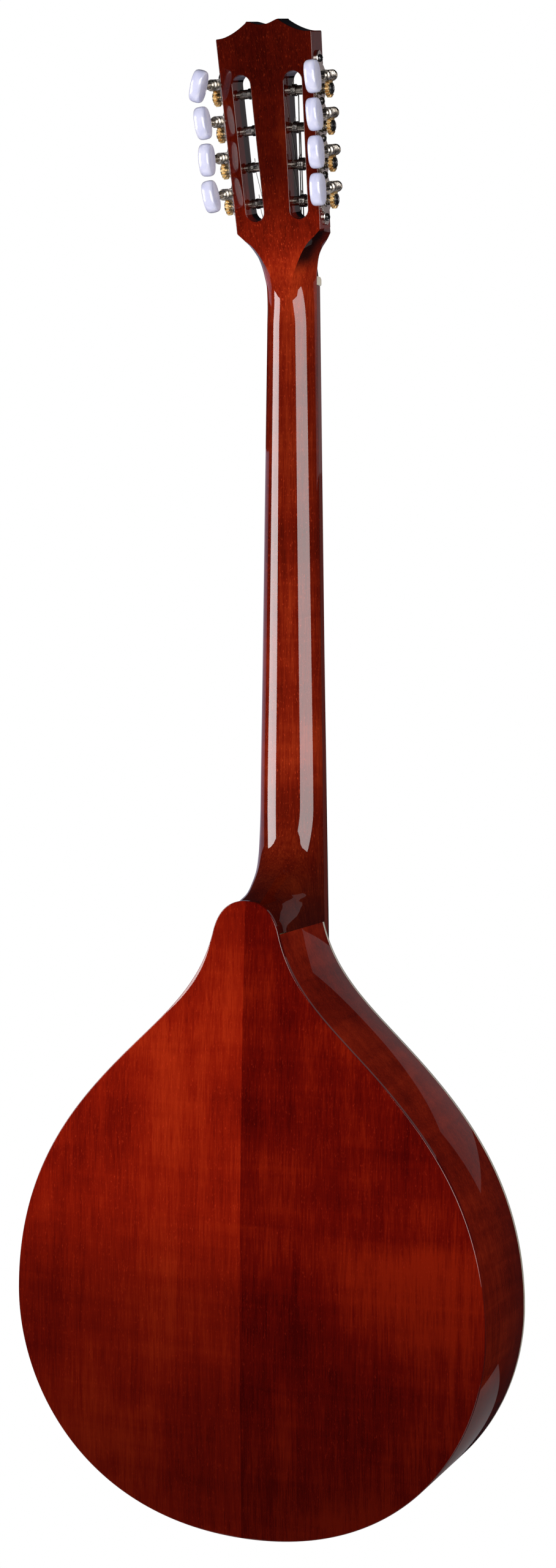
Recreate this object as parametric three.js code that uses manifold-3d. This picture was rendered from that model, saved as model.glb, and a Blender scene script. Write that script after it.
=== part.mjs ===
// Long-necked eight-string mandolin with a teardrop body, a domed two-piece back and a slotted headstock.
// Millimetres. +Z runs up the neck, the strings face -Y, the back faces +Y, the treble side is +X.
// The pieces are laid out from the tail of the body (z = 0) and the plane of the soundboard (y = 0);
// the last lines move everything so that the origin is where a wall hanger holds the headstock.

import * as THREE from 'three';
import { mergeVertices } from 'three/addons/utils/BufferGeometryUtils.js';
import Module from 'manifold-3d';

const wasm = await Module();
wasm.setup();

// ---------------------------------------------------------------- driving dimensions

const gap = 0.3; // between two pieces that touch

// body outline, seen from the front: one half, x outwards and z up from the tail
const bodyWidth = 328;
const widestHeight = 148; // where the body is widest
const shoulderHalfWidth = 97;
const shoulderHeight = 299.5;
const shoulderLean = 0.773; // radians between the outline and the centre line
const jointHeight = 393.4; // where the body ends and the heel of the neck begins
const jointHalfWidth = 22.9;
const jointLean = 0.242;
const buttonLength = 20.7; // the back's rounded tongue that covers the heel
const seamGap = 0.3; // between the two halves of the back and of the rim

// body depth, soundboard face to the edge of the back
const depthAtTail = 84;
const depthAtMiddle = 81.3;
const depthAtButton = 77.7;
const backDome = 5; // how far the centre seam stands out behind the edge

// plates, rim and what stiffens them
const topThickness = 2.8;
const backThickness = 2.6;
const rimThickness = 2.2;
const bindingWidth = 1.6;
const bindingDepth = 3;
const liningWidth = 6;
const liningDepth = 11;
const neckBlockLength = 36;
const tailBlockWidth = 60;
const tailBlockLength = 20;
const braceWidth = 8;
const braceDepth = 14;
const topBraceHeight = 226;
const backBraceHeights = [120, 268];
const soundholeWidth = 92;
const soundholeLength = 70;
const soundholeHeight = 284;

// neck, fingerboard and nut
const neckLength = 418.2; // body joint to the nut
const scaleLength = 668;
const nutWidth = 33.2;
const neckWidening = 0.031; // extra width for each millimetre down from the nut
const neckDepthAtNut = 14.6;
const neckDepthAtHeel = 14.2;
const fingerboardThickness = 5.5;
const fingerboardFrets = 22;
const fingerboardTail = 3; // beyond the last fret
const nutLength = 5.5;
const nutProud = 2.4; // above the fingerboard

// headstock, in its own tilted frame: x across, y from the front face to the back, z up from the nut
const headTilt = THREE.MathUtils.degToRad(11.9);
const headThickness = 18;
const headHalfWidth = 29.3; // at the shoulders
const shoulderTop = 35.5; // height of the shoulders above the nut
const headFlare = THREE.MathUtils.degToRad(1.73); // each side leans out by this much
const headSideTop = 158.9;
const crestHeight = 9.1; // of the two crest horns above the corners
const crestHorn = 11; // distance of each horn from the centre line
const crestDip = 2.6; // depth of the hollow between the horns
const slotWidth = 13;
const slotInset = 7.8; // wood between the side and the slot
const slotBottom = 43.5;
const slotTop = 135.6;
const rampStart = 24; // a ramp in the front face leads the strings down into each slot

// tuning machines
const machineCount = 4; // on each side
const firstPost = 54.2; // above the nut
const machinePitch = 23;
const postRadius = 3;
const postSeat = 5; // how far a post runs into the middle rib of the headstock
const gearTeeth = 14;
const gearRadius = 5.2; // pitch circle
const gearAddendum = 0.5;
const gearDedendum = 0.98;
const gearThickness = 2.6;
const gearBore = 1.8;
const wormPitchRadius = 2.8;
const wormCrest = 3.4;
const wormRoot = 1.9;
const wormLength = 9.6;
const wormOffset = 7; // from the side of the headstock to the middle of worm and gear
const shaftRadius = 1.4;
const runningGap = 0.35; // around posts and shafts in their holes
const plateThickness = 1.2;
const plateWidth = 16;
const plateEndRadius = 5; // round lobes at both ends, each with a screw
const plateReach = 14.8; // from the middle of each end machine out to the lobe's middle
const lugThickness = 1.2;
const lugLength = 6.4;
const buttonClearance = 2.4; // between two buttons of one side
const buttonSize = { thickness: 7.6, depth: 13, length: machinePitch - buttonClearance };
const buttonCentre = 27.5; // behind the middle of the headstock's thickness
const buttonSocket = 7;
const buttonTurns = [ // degrees that each button has been left at, nut end first
  [1, 2, 4, 4],
  [6, -2, 3, -20],
];

// strings and what they hang from
const stringDiameters = [1.15, 0.85, 0.55, 0.4]; // each course, bass to treble
const courseSpacingAtNut = 8.4;
const courseSpacingAtBridge = 15.5;
const pairSpacing = 2.4;
const nutSlotRise = 0.25; // string centre above the nut's top beyond its own radius
const saddleHeight = 13.6;
const bridgeWidth = 118;
const bridgeLength = 9;
const saddleLength = 3;
const tailpieceWidth = 32;
const tailpieceThickness = 1.2;
const tailpieceReach = 46; // over the soundboard
const tailpieceFlange = 34; // down the end of the rim
const hookRise = 4.5; // of the tailpiece's comb above the soundboard

// where a hanger's arms hold the headstock, above the nut
const hangerHeight = 24;

// ---------------------------------------------------------------- derived places

const bodyLength = jointHeight + buttonLength;
const nutHeight = jointHeight + neckLength;
const bridgeHeight = nutHeight - scaleLength;
const headTop = headSideTop + crestHeight;
const rampDepth = headThickness / 2 - postRadius - 1; // as deep as the strings run to their rollers
const wormRise = gearRadius + wormPitchRadius; // worm shaft above the post
const toothPitch = (2 * Math.PI * gearRadius) / gearTeeth;

// ---------------------------------------------------------------- solids

function toSolid(geometry) {
  const bare = new THREE.BufferGeometry();
  bare.setAttribute('position', geometry.getAttribute('position').clone());
  if (geometry.index) bare.setIndex(geometry.index.clone());
  const welded = mergeVertices(bare, 1e-4);
  return new wasm.Manifold(new wasm.Mesh({
    numProp: 3,
    vertProperties: new Float32Array(welded.getAttribute('position').array),
    triVerts: new Uint32Array(welded.index.array),
  }));
}

function toGeometry(solid) {
  const mesh = solid.getMesh();
  const geometry = new THREE.BufferGeometry();
  geometry.setAttribute('position', new THREE.BufferAttribute(new Float32Array(mesh.vertProperties), 3));
  geometry.setIndex(new THREE.BufferAttribute(new Uint32Array(mesh.triVerts), 1));
  geometry.computeVertexNormals();
  return geometry;
}

// A closed skin over rings of points: each ring has the same number of points, and the ends are capped.
function loft(rings) {
  const count = rings[0].length;
  const points = rings.flat();
  const triangles = [];
  const at = (ring, i) => ring * count + (i % count);
  for (let ring = 0; ring < rings.length - 1; ring += 1) {
    for (let i = 0; i < count; i += 1) {
      triangles.push(at(ring, i), at(ring, i + 1), at(ring + 1, i + 1));
      triangles.push(at(ring, i), at(ring + 1, i + 1), at(ring + 1, i));
    }
  }
  capRing(rings[0], 0, true, triangles);
  capRing(rings[rings.length - 1], (rings.length - 1) * count, false, triangles);
  const geometry = new THREE.BufferGeometry().setFromPoints(points);
  geometry.setIndex(triangles);
  return outward(geometry);
}

function capRing(ring, first, flipped, triangles) {
  const across = new THREE.Vector3();
  for (let i = 1; i < ring.length - 1; i += 1) {
    const a = ring[i].clone().sub(ring[0]);
    const b = ring[i + 1].clone().sub(ring[0]);
    across.add(a.cross(b));
  }
  across.normalize();
  const side = new THREE.Vector3().subVectors(ring[1], ring[0]).normalize();
  const up = new THREE.Vector3().crossVectors(across, side);
  const flat = ring.map((p) => new THREE.Vector2(p.dot(side), p.dot(up)));
  for (const [a, b, c] of THREE.ShapeUtils.triangulateShape(flat, [])) {
    if (flipped) triangles.push(first + a, first + c, first + b);
    else triangles.push(first + a, first + b, first + c);
  }
}

// Turns a closed mesh's faces outwards if its volume comes out negative.
function outward(geometry) {
  const place = geometry.getAttribute('position');
  const index = geometry.index.array;
  const corner = (i) => new THREE.Vector3().fromBufferAttribute(place, index[i]);
  let volume = 0;
  for (let i = 0; i < index.length; i += 3) {
    volume += corner(i).dot(corner(i + 1).cross(corner(i + 2)));
  }
  if (volume < 0) {
    for (let i = 0; i < index.length; i += 3) {
      const kept = index[i + 1];
      index[i + 1] = index[i + 2];
      index[i + 2] = kept;
    }
  }
  geometry.computeVertexNormals();
  return geometry;
}

function cylinder(radius, length, sides) {
  return new THREE.CylinderGeometry(radius, radius, length, sides);
}

// A box given by its low and high corners.
function block(low, high) {
  const size = high.map((value, i) => value - low[i]);
  const geometry = new THREE.BoxGeometry(...size);
  return geometry.translate(...low.map((value, i) => value + size[i] / 2));
}

// A flat outline in x and z, made thick along y between two values.
function slab(outline, near, far, holes = []) {
  const shape = new THREE.Shape(outline);
  shape.holes = holes.map((points) => new THREE.Path(points));
  const geometry = new THREE.ExtrudeGeometry(shape, { depth: far - near, bevelEnabled: false });
  return geometry.rotateX(Math.PI / 2).translate(0, far, 0);
}

function cut(geometry, tools) {
  let solid = toSolid(geometry);
  for (const tool of tools) solid = solid.subtract(toSolid(tool));
  return toGeometry(solid);
}

function join(geometries) {
  let solid = toSolid(geometries[0]);
  for (const other of geometries.slice(1)) solid = solid.add(toSolid(other));
  return toGeometry(solid);
}

// ---------------------------------------------------------------- the assembly

const instrument = new THREE.Group();

function piece(name, geometry, finish, parent = instrument) {
  const [color, roughness, metalness] = finish;
  const mesh = new THREE.Mesh(geometry, new THREE.MeshStandardMaterial({ color, roughness, metalness }));
  mesh.name = name;
  parent.add(mesh);
  return mesh;
}

const redMaple = [0x6e1408, 0.12, 0];
const darkMaple = [0x4a1410, 0.12, 0];
const spruce = [0xb5763a, 0.3, 0];
const rawSpruce = [0xd9bd8f, 0.7, 0];
const mahogany = [0x8a5a3c, 0.7, 0];
const blackwood = [0x241310, 0.4, 0];
const bone = [0xe6dcc0, 0.35, 0];
const pearl = [0xc9cddb, 0.2, 0];
const nickel = [0x8c8a88, 0.25, 1];
const brass = [0x9a7a42, 0.35, 1];
const steel = [0xc4c4c6, 0.3, 1];

// ---------------------------------------------------------------- body outline

const lean = (angle) => new THREE.Vector2(-Math.sin(angle), Math.cos(angle));

const tail = new THREE.Vector2(0, 0);
const widest = new THREE.Vector2(bodyWidth / 2, widestHeight);
const shoulder = new THREE.Vector2(shoulderHalfWidth, shoulderHeight);
const joint = new THREE.Vector2(jointHalfWidth, jointHeight);
const tip = new THREE.Vector2(0, bodyLength);

function bend(from, fromHandle, to, toHandle) {
  return new THREE.CubicBezierCurve(from, from.clone().add(fromHandle), to.clone().sub(toHandle), to);
}

const sideCurves = [
  [bend(tail, new THREE.Vector2(114, 0), widest, new THREE.Vector2(0, 67.5)), 8],
  [bend(widest, new THREE.Vector2(0, 73.5), shoulder, lean(shoulderLean).multiplyScalar(46.5)), 6],
  [bend(shoulder, lean(shoulderLean).multiplyScalar(48.5), joint, lean(jointLean).multiplyScalar(41)), 6],
];
const buttonCurve = bend(joint, lean(jointLean).multiplyScalar(14.3), tip, new THREE.Vector2(-11.7, 0));
const buttonSteps = 5;

// Places along one half of the outline, each with its inward direction.
function stations(curve, steps, first) {
  return Array.from({ length: steps + 1 - first }, (_, i) => {
    const t = (i + first) / steps;
    const along = curve.getTangent(t);
    return { at: curve.getPoint(t), inward: new THREE.Vector2(-along.y, along.x) };
  });
}

const rimStations = sideCurves.flatMap(([curve, steps], i) => stations(curve, steps, i === 0 ? 0 : 1));
const backStations = [...rimStations, ...stations(buttonCurve, buttonSteps, 1)];

const inset = (station, distance) => station.at.clone().addScaledVector(station.inward, distance);
const mirrored = (p) => new THREE.Vector2(-p.x, p.y);

// One half of the outline moved inwards, kept between two heights.
function insetSide(distance, low = -Infinity, high = Infinity) {
  const all = rimStations.map((station) => inset(station, distance));
  const kept = [];
  for (let i = 0; i < all.length; i += 1) {
    const here = all[i];
    const before = all[i - 1];
    for (const limit of [low, high]) {
      if (before && (before.y - limit) * (here.y - limit) < 0) {
        kept.push(before.clone().lerp(here, (limit - before.y) / (here.y - before.y)));
      }
    }
    if (here.y >= low && here.y <= high) kept.push(here);
  }
  return kept;
}

// Both halves as one run, from the joint on one side round the tail to the joint on the other.
function wholeRun(side) {
  const centre = side[0].x < seamGap ? side.slice(1) : side;
  return [...side.slice().reverse(), ...centre.map(mirrored)];
}

function halfWidthAt(height) {
  const after = backStations.findIndex((station) => station.at.y > height);
  const a = backStations[after - 1].at;
  const b = backStations[after].at;
  return THREE.MathUtils.mapLinear(height, a.y, b.y, a.x, b.x);
}

// y of the back's outer face at the edge of the body
function edgeDepth(height) {
  const u = height / bodyLength;
  const low = depthAtTail * (1 - u) * (1 - 2 * u);
  const middle = depthAtMiddle * 4 * u * (1 - u);
  const high = depthAtButton * u * (2 * u - 1);
  return low + middle + high;
}

// y of the back's outer face at a share of the half width
function backDepth(share, height) {
  const u = height / bodyLength;
  return edgeDepth(height) + backDome * 4 * u * (1 - u) * (1 - share * share);
}

const backInside = backThickness + gap;

// ---------------------------------------------------------------- body

function backHalf(side) {
  const steps = 5;
  const rows = backStations.map(({ at }) => {
    const halfWidth = Math.max(at.x, seamGap);
    return Array.from({ length: steps + 1 }, (_, i) => {
      const x = THREE.MathUtils.lerp(seamGap / 2, halfWidth, i / steps);
      return { x: side * x, y: backDepth(x / halfWidth, at.y), z: at.y };
    });
  });
  return loft(rows.map((row) => [
    ...row.map((p) => new THREE.Vector3(p.x, p.y, p.z)),
    ...row.slice().reverse().map((p) => new THREE.Vector3(p.x, p.y - backThickness, p.z)),
  ]));
}

function rimHalf(side) {
  return loft(rimStations.map((station) => {
    const outer = station.at;
    const inner = inset(station, rimThickness);
    const ring = [];
    for (const p of [outer, inner]) {
      const x = side * Math.max(p.x, seamGap / 2);
      const ends = [bindingDepth + gap, edgeDepth(outer.y) - backInside];
      if (p === inner) ends.reverse();
      for (const y of ends) ring.push(new THREE.Vector3(x, y, p.y));
    }
    return ring;
  }));
}

// A strip that follows the outline: each corner is an inset and a depth.
function edgeStrip(corners, high = Infinity) {
  const runAt = (distance) => wholeRun(insetSide(distance, -Infinity, high));
  const runs = corners.map(([distance, depth]) => ({ run: runAt(distance), depth }));
  const count = Math.min(...runs.map(({ run }) => run.length));
  return loft(Array.from({ length: count }, (_, i) => runs.map(({ run, depth }) => {
    const p = run[i];
    return new THREE.Vector3(p.x, depth(p.y), p.y);
  })));
}

const plain = (value) => () => value;
const blockFoot = jointHeight - neckBlockLength;
const liningOuter = rimThickness + gap;
const liningInner = liningOuter + liningWidth;
const liningTop = topThickness + gap;
const liningEnd = blockFoot - gap;
const onBack = (rise) => (height) => edgeDepth(height) - backInside - rise;

function ellipse(halfX, halfZ, height, sides) {
  const curve = new THREE.EllipseCurve(0, height, halfX, halfZ, 0, 2 * Math.PI, false, 0);
  return curve.getPoints(sides).slice(0, -1);
}

const soundboardOutline = wholeRun(insetSide(bindingWidth + gap));
const soundhole = ellipse(soundholeWidth / 2, soundholeLength / 2, soundholeHeight, 28);
piece('soundboard', slab(soundboardOutline, 0, topThickness, [soundhole]), spruce);
piece('back_bass', backHalf(-1), redMaple);
piece('back_treble', backHalf(1), redMaple);
piece('rim_bass', rimHalf(-1), darkMaple);
piece('rim_treble', rimHalf(1), darkMaple);
piece('top_binding', edgeStrip([
  [0, plain(0)],
  [bindingWidth, plain(0)],
  [bindingWidth, plain(bindingDepth)],
  [0, plain(bindingDepth)],
]), bone);
piece('top_lining', edgeStrip([
  [liningOuter, plain(liningTop)],
  [liningInner, plain(liningTop)],
  [liningOuter, plain(liningTop + liningDepth)],
], liningEnd), rawSpruce);
piece('back_lining', edgeStrip([
  [liningOuter, onBack(0)],
  [liningInner, onBack(0)],
  [liningOuter, onBack(liningDepth)],
], liningEnd), rawSpruce);

const neckBlockSide = insetSide(liningOuter, blockFoot);
const neckBlockBack = edgeDepth(jointHeight) - backInside;
piece('neck_block', slab(
  [...neckBlockSide, ...neckBlockSide.slice().reverse().map(mirrored)],
  liningTop,
  neckBlockBack,
), mahogany);

// the tail block stands on the inside of the rim, between the two linings
function tailBlock() {
  const halfWidth = tailBlockWidth / 2;
  const foot = [];
  const inner = rimStations.map((station) => inset(station, liningOuter));
  for (let i = 0; i < inner.length; i += 1) {
    if (inner[i].x >= halfWidth) {
      const share = (halfWidth - inner[i - 1].x) / (inner[i].x - inner[i - 1].x);
      foot.push(inner[i - 1].clone().lerp(inner[i], share));
      break;
    }
    foot.push(inner[i]);
  }
  const top = foot[0].y + tailBlockLength;
  const outline = [
    new THREE.Vector2(-halfWidth, top),
    ...foot.slice(1).reverse().map(mirrored),
    ...foot,
    new THREE.Vector2(halfWidth, top),
  ];
  return slab(outline, liningTop + liningDepth + gap, onBack(liningDepth + gap)(top));
}
piece('tail_block', tailBlock(), mahogany);

// half the length of a bar that lies across the body inside the linings
function barHalfLength(height) {
  const places = [height - braceWidth, height, height + braceWidth];
  return Math.min(...places.map(halfWidthAt)) - liningInner - braceWidth;
}

const topBar = barHalfLength(topBraceHeight);
piece('top_brace', block(
  [-topBar, liningTop, topBraceHeight - braceWidth / 2],
  [topBar, liningTop + braceDepth, topBraceHeight + braceWidth / 2],
), rawSpruce);

// A bar under the domed back: its foot follows the dome.
function backBrace(height) {
  const reach = barHalfLength(height);
  const shares = [-1, -0.5, 0, 0.5, 1];
  return loft(shares.map((share) => {
    const x = share * reach;
    const foot = backDepth(x / halfWidthAt(height), height) - backInside - gap;
    return [[-1, foot], [1, foot], [1, foot - braceDepth], [-1, foot - braceDepth]]
      .map(([end, y]) => new THREE.Vector3(x, y, height + (end * braceWidth) / 2));
  }));
}
piece('back_brace_lower', backBrace(backBraceHeights[0]), rawSpruce);
piece('back_brace_upper', backBrace(backBraceHeights[1]), rawSpruce);

// ---------------------------------------------------------------- neck and headstock

const neckHalfWidth = (height) => (nutWidth + neckWidening * (nutHeight - height)) / 2;
const headHalfWidthAt = (height) => headHalfWidth + (height - shoulderTop) * Math.tan(headFlare);

// Section across the neck, flat in front. front and back are half widths at the face and at full depth,
// flat is the share of the back that is flat, and squareness 2 rounds the sides as an ellipse.
function section(front, back, flat, depth, squareness) {
  const steps = 6;
  const side = Array.from({ length: steps + 1 }, (_, i) => {
    const angle = ((Math.PI / 2) * i) / steps;
    const across = flat + (1 - flat) * Math.abs(Math.cos(angle)) ** (2 / squareness);
    const deep = Math.sin(angle) ** (2 / squareness);
    return new THREE.Vector2(across * THREE.MathUtils.lerp(front, back, deep), depth * deep);
  });
  side[steps].x = flat * back;
  return [...side, ...side.slice().reverse().map(mirrored)];
}

const heelDepth = neckBlockBack; // the heel ends just under the back's button
const headFrame = new THREE.Group();
headFrame.position.set(0, 0, nutHeight);
headFrame.rotation.x = -headTilt;
headFrame.updateMatrix();

// Heel: height above the joint, depth, half width at the back, squareness.
const heel = [
  [gap, heelDepth, halfWidthAt(jointHeight + gap), 6],
  [buttonLength * 0.3, heelDepth, halfWidthAt(jointHeight + buttonLength * 0.3), 5],
  [buttonLength * 0.58, heelDepth, halfWidthAt(jointHeight + buttonLength * 0.58), 4],
  [buttonLength * 0.8, heelDepth * 0.94, 14.8, 3.4],
  [buttonLength, heelDepth * 0.8, 14.8, 3],
  [27, heelDepth * 0.6, 17.4, 2.6],
  [36, heelDepth * 0.39, 20, 2.4],
  [50, neckDepthAtHeel * 1.38, 21.6, 2.3],
];
const heelFlat = 0.3;
const shaftFlat = 0.04;
const shaftSquareness = 2.3;

// Throat, where the neck spreads into the headstock and the flat back comes to a point:
// height above the nut in the head's frame, half width in front, half width of the flat, squareness.
const throat = [
  [2, nutWidth / 2 + 0.2, 6, 1.9],
  [7, nutWidth / 2 + 0.8, 7.4, 1.8],
  [12.5, nutWidth / 2 + 1.5, 9.3, 1.7],
  [20, nutWidth / 2 + 3.3, 13.3, 1.6],
  [27, nutWidth / 2 + 8.2, 18.4, 1.7],
  [31, nutWidth / 2 + 11.1, 23, 1.9],
  [shoulderTop - 0.5, headHalfWidth, headHalfWidth - 1, 4],
];
// The flat's point below the nut and a place above it: height above the nut, share that is flat.
const flatTip = [
  [-17.5, 0.05],
  [-11, 0.16],
];

function neckShaft() {
  const rings = [];
  const flatRing = (height, outline) => rings.push(outline.map((p) => new THREE.Vector3(p.x, p.y, height)));
  for (const [rise, depth, back, squareness] of heel) {
    const height = jointHeight + rise;
    flatRing(height, section(neckHalfWidth(height), back, heelFlat, depth, squareness));
  }
  const shaftStart = jointHeight + 90;
  const shaftSteps = 5;
  const shaftEnd = nutHeight - 24;
  for (let i = 0; i <= shaftSteps; i += 1) {
    const height = THREE.MathUtils.lerp(shaftStart, shaftEnd, i / shaftSteps);
    const depth = THREE.MathUtils.lerp(neckDepthAtHeel, neckDepthAtNut, i / shaftSteps);
    const half = neckHalfWidth(height);
    flatRing(height, section(half, half, shaftFlat, depth, shaftSquareness));
  }
  for (const [rise, flat] of flatTip) {
    const depth = rise * Math.tan(headTilt) + headThickness / Math.cos(headTilt);
    const half = neckHalfWidth(nutHeight + rise);
    flatRing(nutHeight + rise, section(half, half, flat, depth, shaftSquareness));
  }
  for (const [rise, front, flat, squareness] of throat) {
    const outline = section(front, front, flat / front, headThickness, squareness);
    rings.push(outline.map((p) => new THREE.Vector3(p.x, p.y, rise).applyMatrix4(headFrame.matrix)));
  }
  return loft(rings);
}

// Outline of the headstock above its shoulders, in x and z of its own frame.
function headOutline() {
  const foot = shoulderTop - 1;
  const top = headHalfWidthAt(headSideTop);
  const half = new THREE.Path();
  half.moveTo(headHalfWidth - 0.3, foot);
  half.lineTo(headHalfWidth, shoulderTop);
  half.lineTo(top, headSideTop);
  half.bezierCurveTo(top * 0.73, headSideTop, crestHorn + 8, headSideTop + 1.6, crestHorn, headTop);
  half.quadraticCurveTo(crestHorn / 2, headTop - crestDip, 0, headTop - crestDip);
  const right = half.getPoints(6);
  return [...right, ...right.slice(0, -1).reverse().map(mirrored)];
}

function stadium(centreX, low, high, halfWidth) {
  const shape = new THREE.Path();
  shape.absarc(0, high - halfWidth, halfWidth, 0, Math.PI, false);
  shape.absarc(0, low + halfWidth, halfWidth, Math.PI, 2 * Math.PI, false);
  return shape.getPoints(8).slice(0, -1).map((p) => new THREE.Vector2(p.x + centreX, p.y));
}

// Each side of the headstock has its own frame: the origin is on the side's line, halfway through the
// thickness and level with the nut; z runs up the side, y to the back, and side * x outwards.
function sideFrame(side) {
  const frame = new THREE.Group();
  frame.position.set(side * headHalfWidthAt(0), headThickness / 2, 0);
  frame.rotation.y = side * headFlare;
  frame.updateMatrix();
  return frame;
}

const postHeight = (i) => firstPost + i * machinePitch;
const rib = slotInset + slotWidth; // distance of the middle rib from the side
const postBoreRadius = postRadius + runningGap;

// Wedge that is as wide as the slot and reaches rampDepth below the front face at the slot's round end.
function stringRamp(side) {
  const face = -headThickness / 2;
  const end = slotBottom + slotWidth / 2;
  const profile = [[face - 1, rampStart], [face, rampStart], [face + rampDepth, end], [face - 1, end]];
  const wall = (inward) => profile.map(([y, z]) => new THREE.Vector3(-side * inward, y, z));
  return loft([wall(slotInset), wall(rib)]);
}

function headTools(side) {
  const frame = sideFrame(side);
  const tools = [];
  const slot = stadium(-side * (slotInset + slotWidth / 2), slotBottom, slotTop, slotWidth / 2);
  tools.push(slab(slot, -headThickness, headThickness).applyMatrix4(frame.matrix));
  tools.push(stringRamp(side).applyMatrix4(frame.matrix));
  for (let i = 0; i < machineCount; i += 1) {
    const length = rib + postSeat + gap + 1;
    const bore = cylinder(postBoreRadius, length, 12).rotateZ(Math.PI / 2);
    bore.translate(side * (1 - length / 2), 0, postHeight(i));
    tools.push(bore.applyMatrix4(frame.matrix));
  }
  return tools.map((tool) => tool.applyMatrix4(headFrame.matrix));
}

const headBlank = slab(headOutline(), 0, headThickness).applyMatrix4(headFrame.matrix);
piece('neck', cut(join([neckShaft(), headBlank]), [...headTools(-1), ...headTools(1)]), redMaple);

const fretDistance = (fret) => scaleLength * (1 - 2 ** (-fret / 12));
const fingerboardFoot = nutHeight - fretDistance(fingerboardFrets) - fingerboardTail;
const fingerboardFace = -gap - fingerboardThickness;

function fingerboard() {
  return loft([fingerboardFoot, nutHeight].map((height) => {
    const half = neckHalfWidth(height);
    return [[-half, -gap], [half, -gap], [half, fingerboardFace], [-half, fingerboardFace]]
      .map(([x, y]) => new THREE.Vector3(x, y, height));
  }));
}
piece('fingerboard', fingerboard(), blackwood);

// The nut's foot follows the tilt of the headstock's face.
function nut() {
  const start = nutHeight + gap;
  const end = start + nutLength;
  const top = fingerboardFace - nutProud;
  const profile = [
    [-gap + (start - nutHeight) * Math.tan(headTilt), start],
    [-gap + (end - nutHeight) * Math.tan(headTilt), end],
    [top + 1.6, end],
    [top, end - 1.4],
    [top, start + 0.8],
    [top + 0.8, start],
  ];
  const side = (x) => profile.map(([y, z]) => new THREE.Vector3(x, y, z));
  return loft([side(-nutWidth / 2), side(nutWidth / 2)]);
}
piece('nut', nut(), bone);

// ---------------------------------------------------------------- tuning machines

// Threaded length with its shaft, along y. The thread is right-handed; a crest faces -z at y = 0.
function worm() {
  const around = 8;
  const crestSteps = 3;
  const turns = wormLength / toothPitch;
  const steps = Math.round(turns * around);
  const threadStart = -wormLength / 2;
  const rings = [];
  for (let step = 0; step <= steps; step += 1) {
    const y = threadStart + (wormLength * step) / steps;
    rings.push(Array.from({ length: around }, (_, i) => {
      const phase = (i / around) - y / toothPitch;
      const fromCrest = Math.abs(phase - Math.round(phase)) * around;
      const radius = fromCrest < crestSteps / 2 ? wormCrest : wormRoot;
      const angle = (2 * Math.PI * i) / around;
      return new THREE.Vector3(-radius * Math.sin(angle), y, -radius * Math.cos(angle));
    }));
  }
  const thread = loft(rings);
  const frontEnd = -plateWidth / 2;
  const backEnd = buttonCentre - buttonSize.depth / 2 + buttonSocket - gap;
  const shaft = cylinder(shaftRadius, backEnd - frontEnd, 8).translate(0, (backEnd + frontEnd) / 2, 0);
  return join([thread, shaft]);
}

// Toothed wheel about x, with a gap between two teeth facing +z at its middle.
function gear() {
  const lead = toothPitch / (2 * Math.PI * wormPitchRadius); // slope of the worm's thread
  const tip = gearRadius + gearAddendum;
  const root = gearRadius - gearDedendum;
  const tipShare = 0.12;
  const rootShare = 0.28;
  const outline = [];
  for (let tooth = 0; tooth < gearTeeth; tooth += 1) {
    const corners = [[-rootShare, root], [-tipShare, tip], [tipShare, tip], [rootShare, root]];
    for (const [share, radius] of corners) {
      const angle = (2 * Math.PI * (tooth + 0.5 + share)) / gearTeeth;
      outline.push(new THREE.Vector2(radius * Math.sin(angle), radius * Math.cos(angle)));
    }
  }
  const shape = new THREE.Shape(outline);
  shape.holes = [new THREE.Path(ellipse(gearBore, gearBore, 0, 10))];
  const geometry = new THREE.ExtrudeGeometry(shape, { depth: gearThickness, bevelEnabled: false });
  geometry.translate(0, 0, -gearThickness / 2);
  const place = geometry.getAttribute('position');
  for (let i = 0; i < place.count; i += 1) {
    const x = place.getZ(i);
    const twist = -(lead * x) / gearRadius;
    const u = place.getX(i);
    const v = place.getY(i);
    const y = u * Math.cos(twist) + v * Math.sin(twist);
    const z = v * Math.cos(twist) - u * Math.sin(twist);
    place.setXYZ(i, x, y, z);
  }
  const welded = mergeVertices(new THREE.BufferGeometry().setAttribute('position', place), 1e-4);
  return outward(welded);
}

// Stepped post about x: the roller in the slot, its shoulder under the gear and the spigot through it.
function post(side) {
  const innerEnd = -(rib + postSeat);
  const shoulderEnd = wormOffset - gearThickness / 2 - gap;
  const spigotEnd = wormOffset + gearThickness / 2 + 0.6;
  const profile = [
    [0, innerEnd],
    [postRadius, innerEnd],
    [postRadius, shoulderEnd],
    [gearBore - gap, shoulderEnd],
    [gearBore - gap, spigotEnd],
    [0, spigotEnd],
  ];
  const lathe = new THREE.LatheGeometry(profile.map(([r, x]) => new THREE.Vector2(r, x)), 12);
  return toGeometry(toSolid(lathe.rotateZ((-side * Math.PI) / 2)));
}

// Oval button with a socket for the shaft; it lies along y with its long side along z.
function button() {
  const { thickness, depth, length } = buttonSize;
  const oval = new THREE.SphereGeometry(0.5, 10, 6).scale(thickness, depth, length);
  oval.translate(0, buttonCentre, 0);
  const mouth = buttonCentre - depth / 2;
  const socket = cylinder(shaftRadius + gap, buttonSocket + 1, 8);
  return cut(oval, [socket.translate(0, mouth + (buttonSocket - 1) / 2, 0)]);
}

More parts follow.
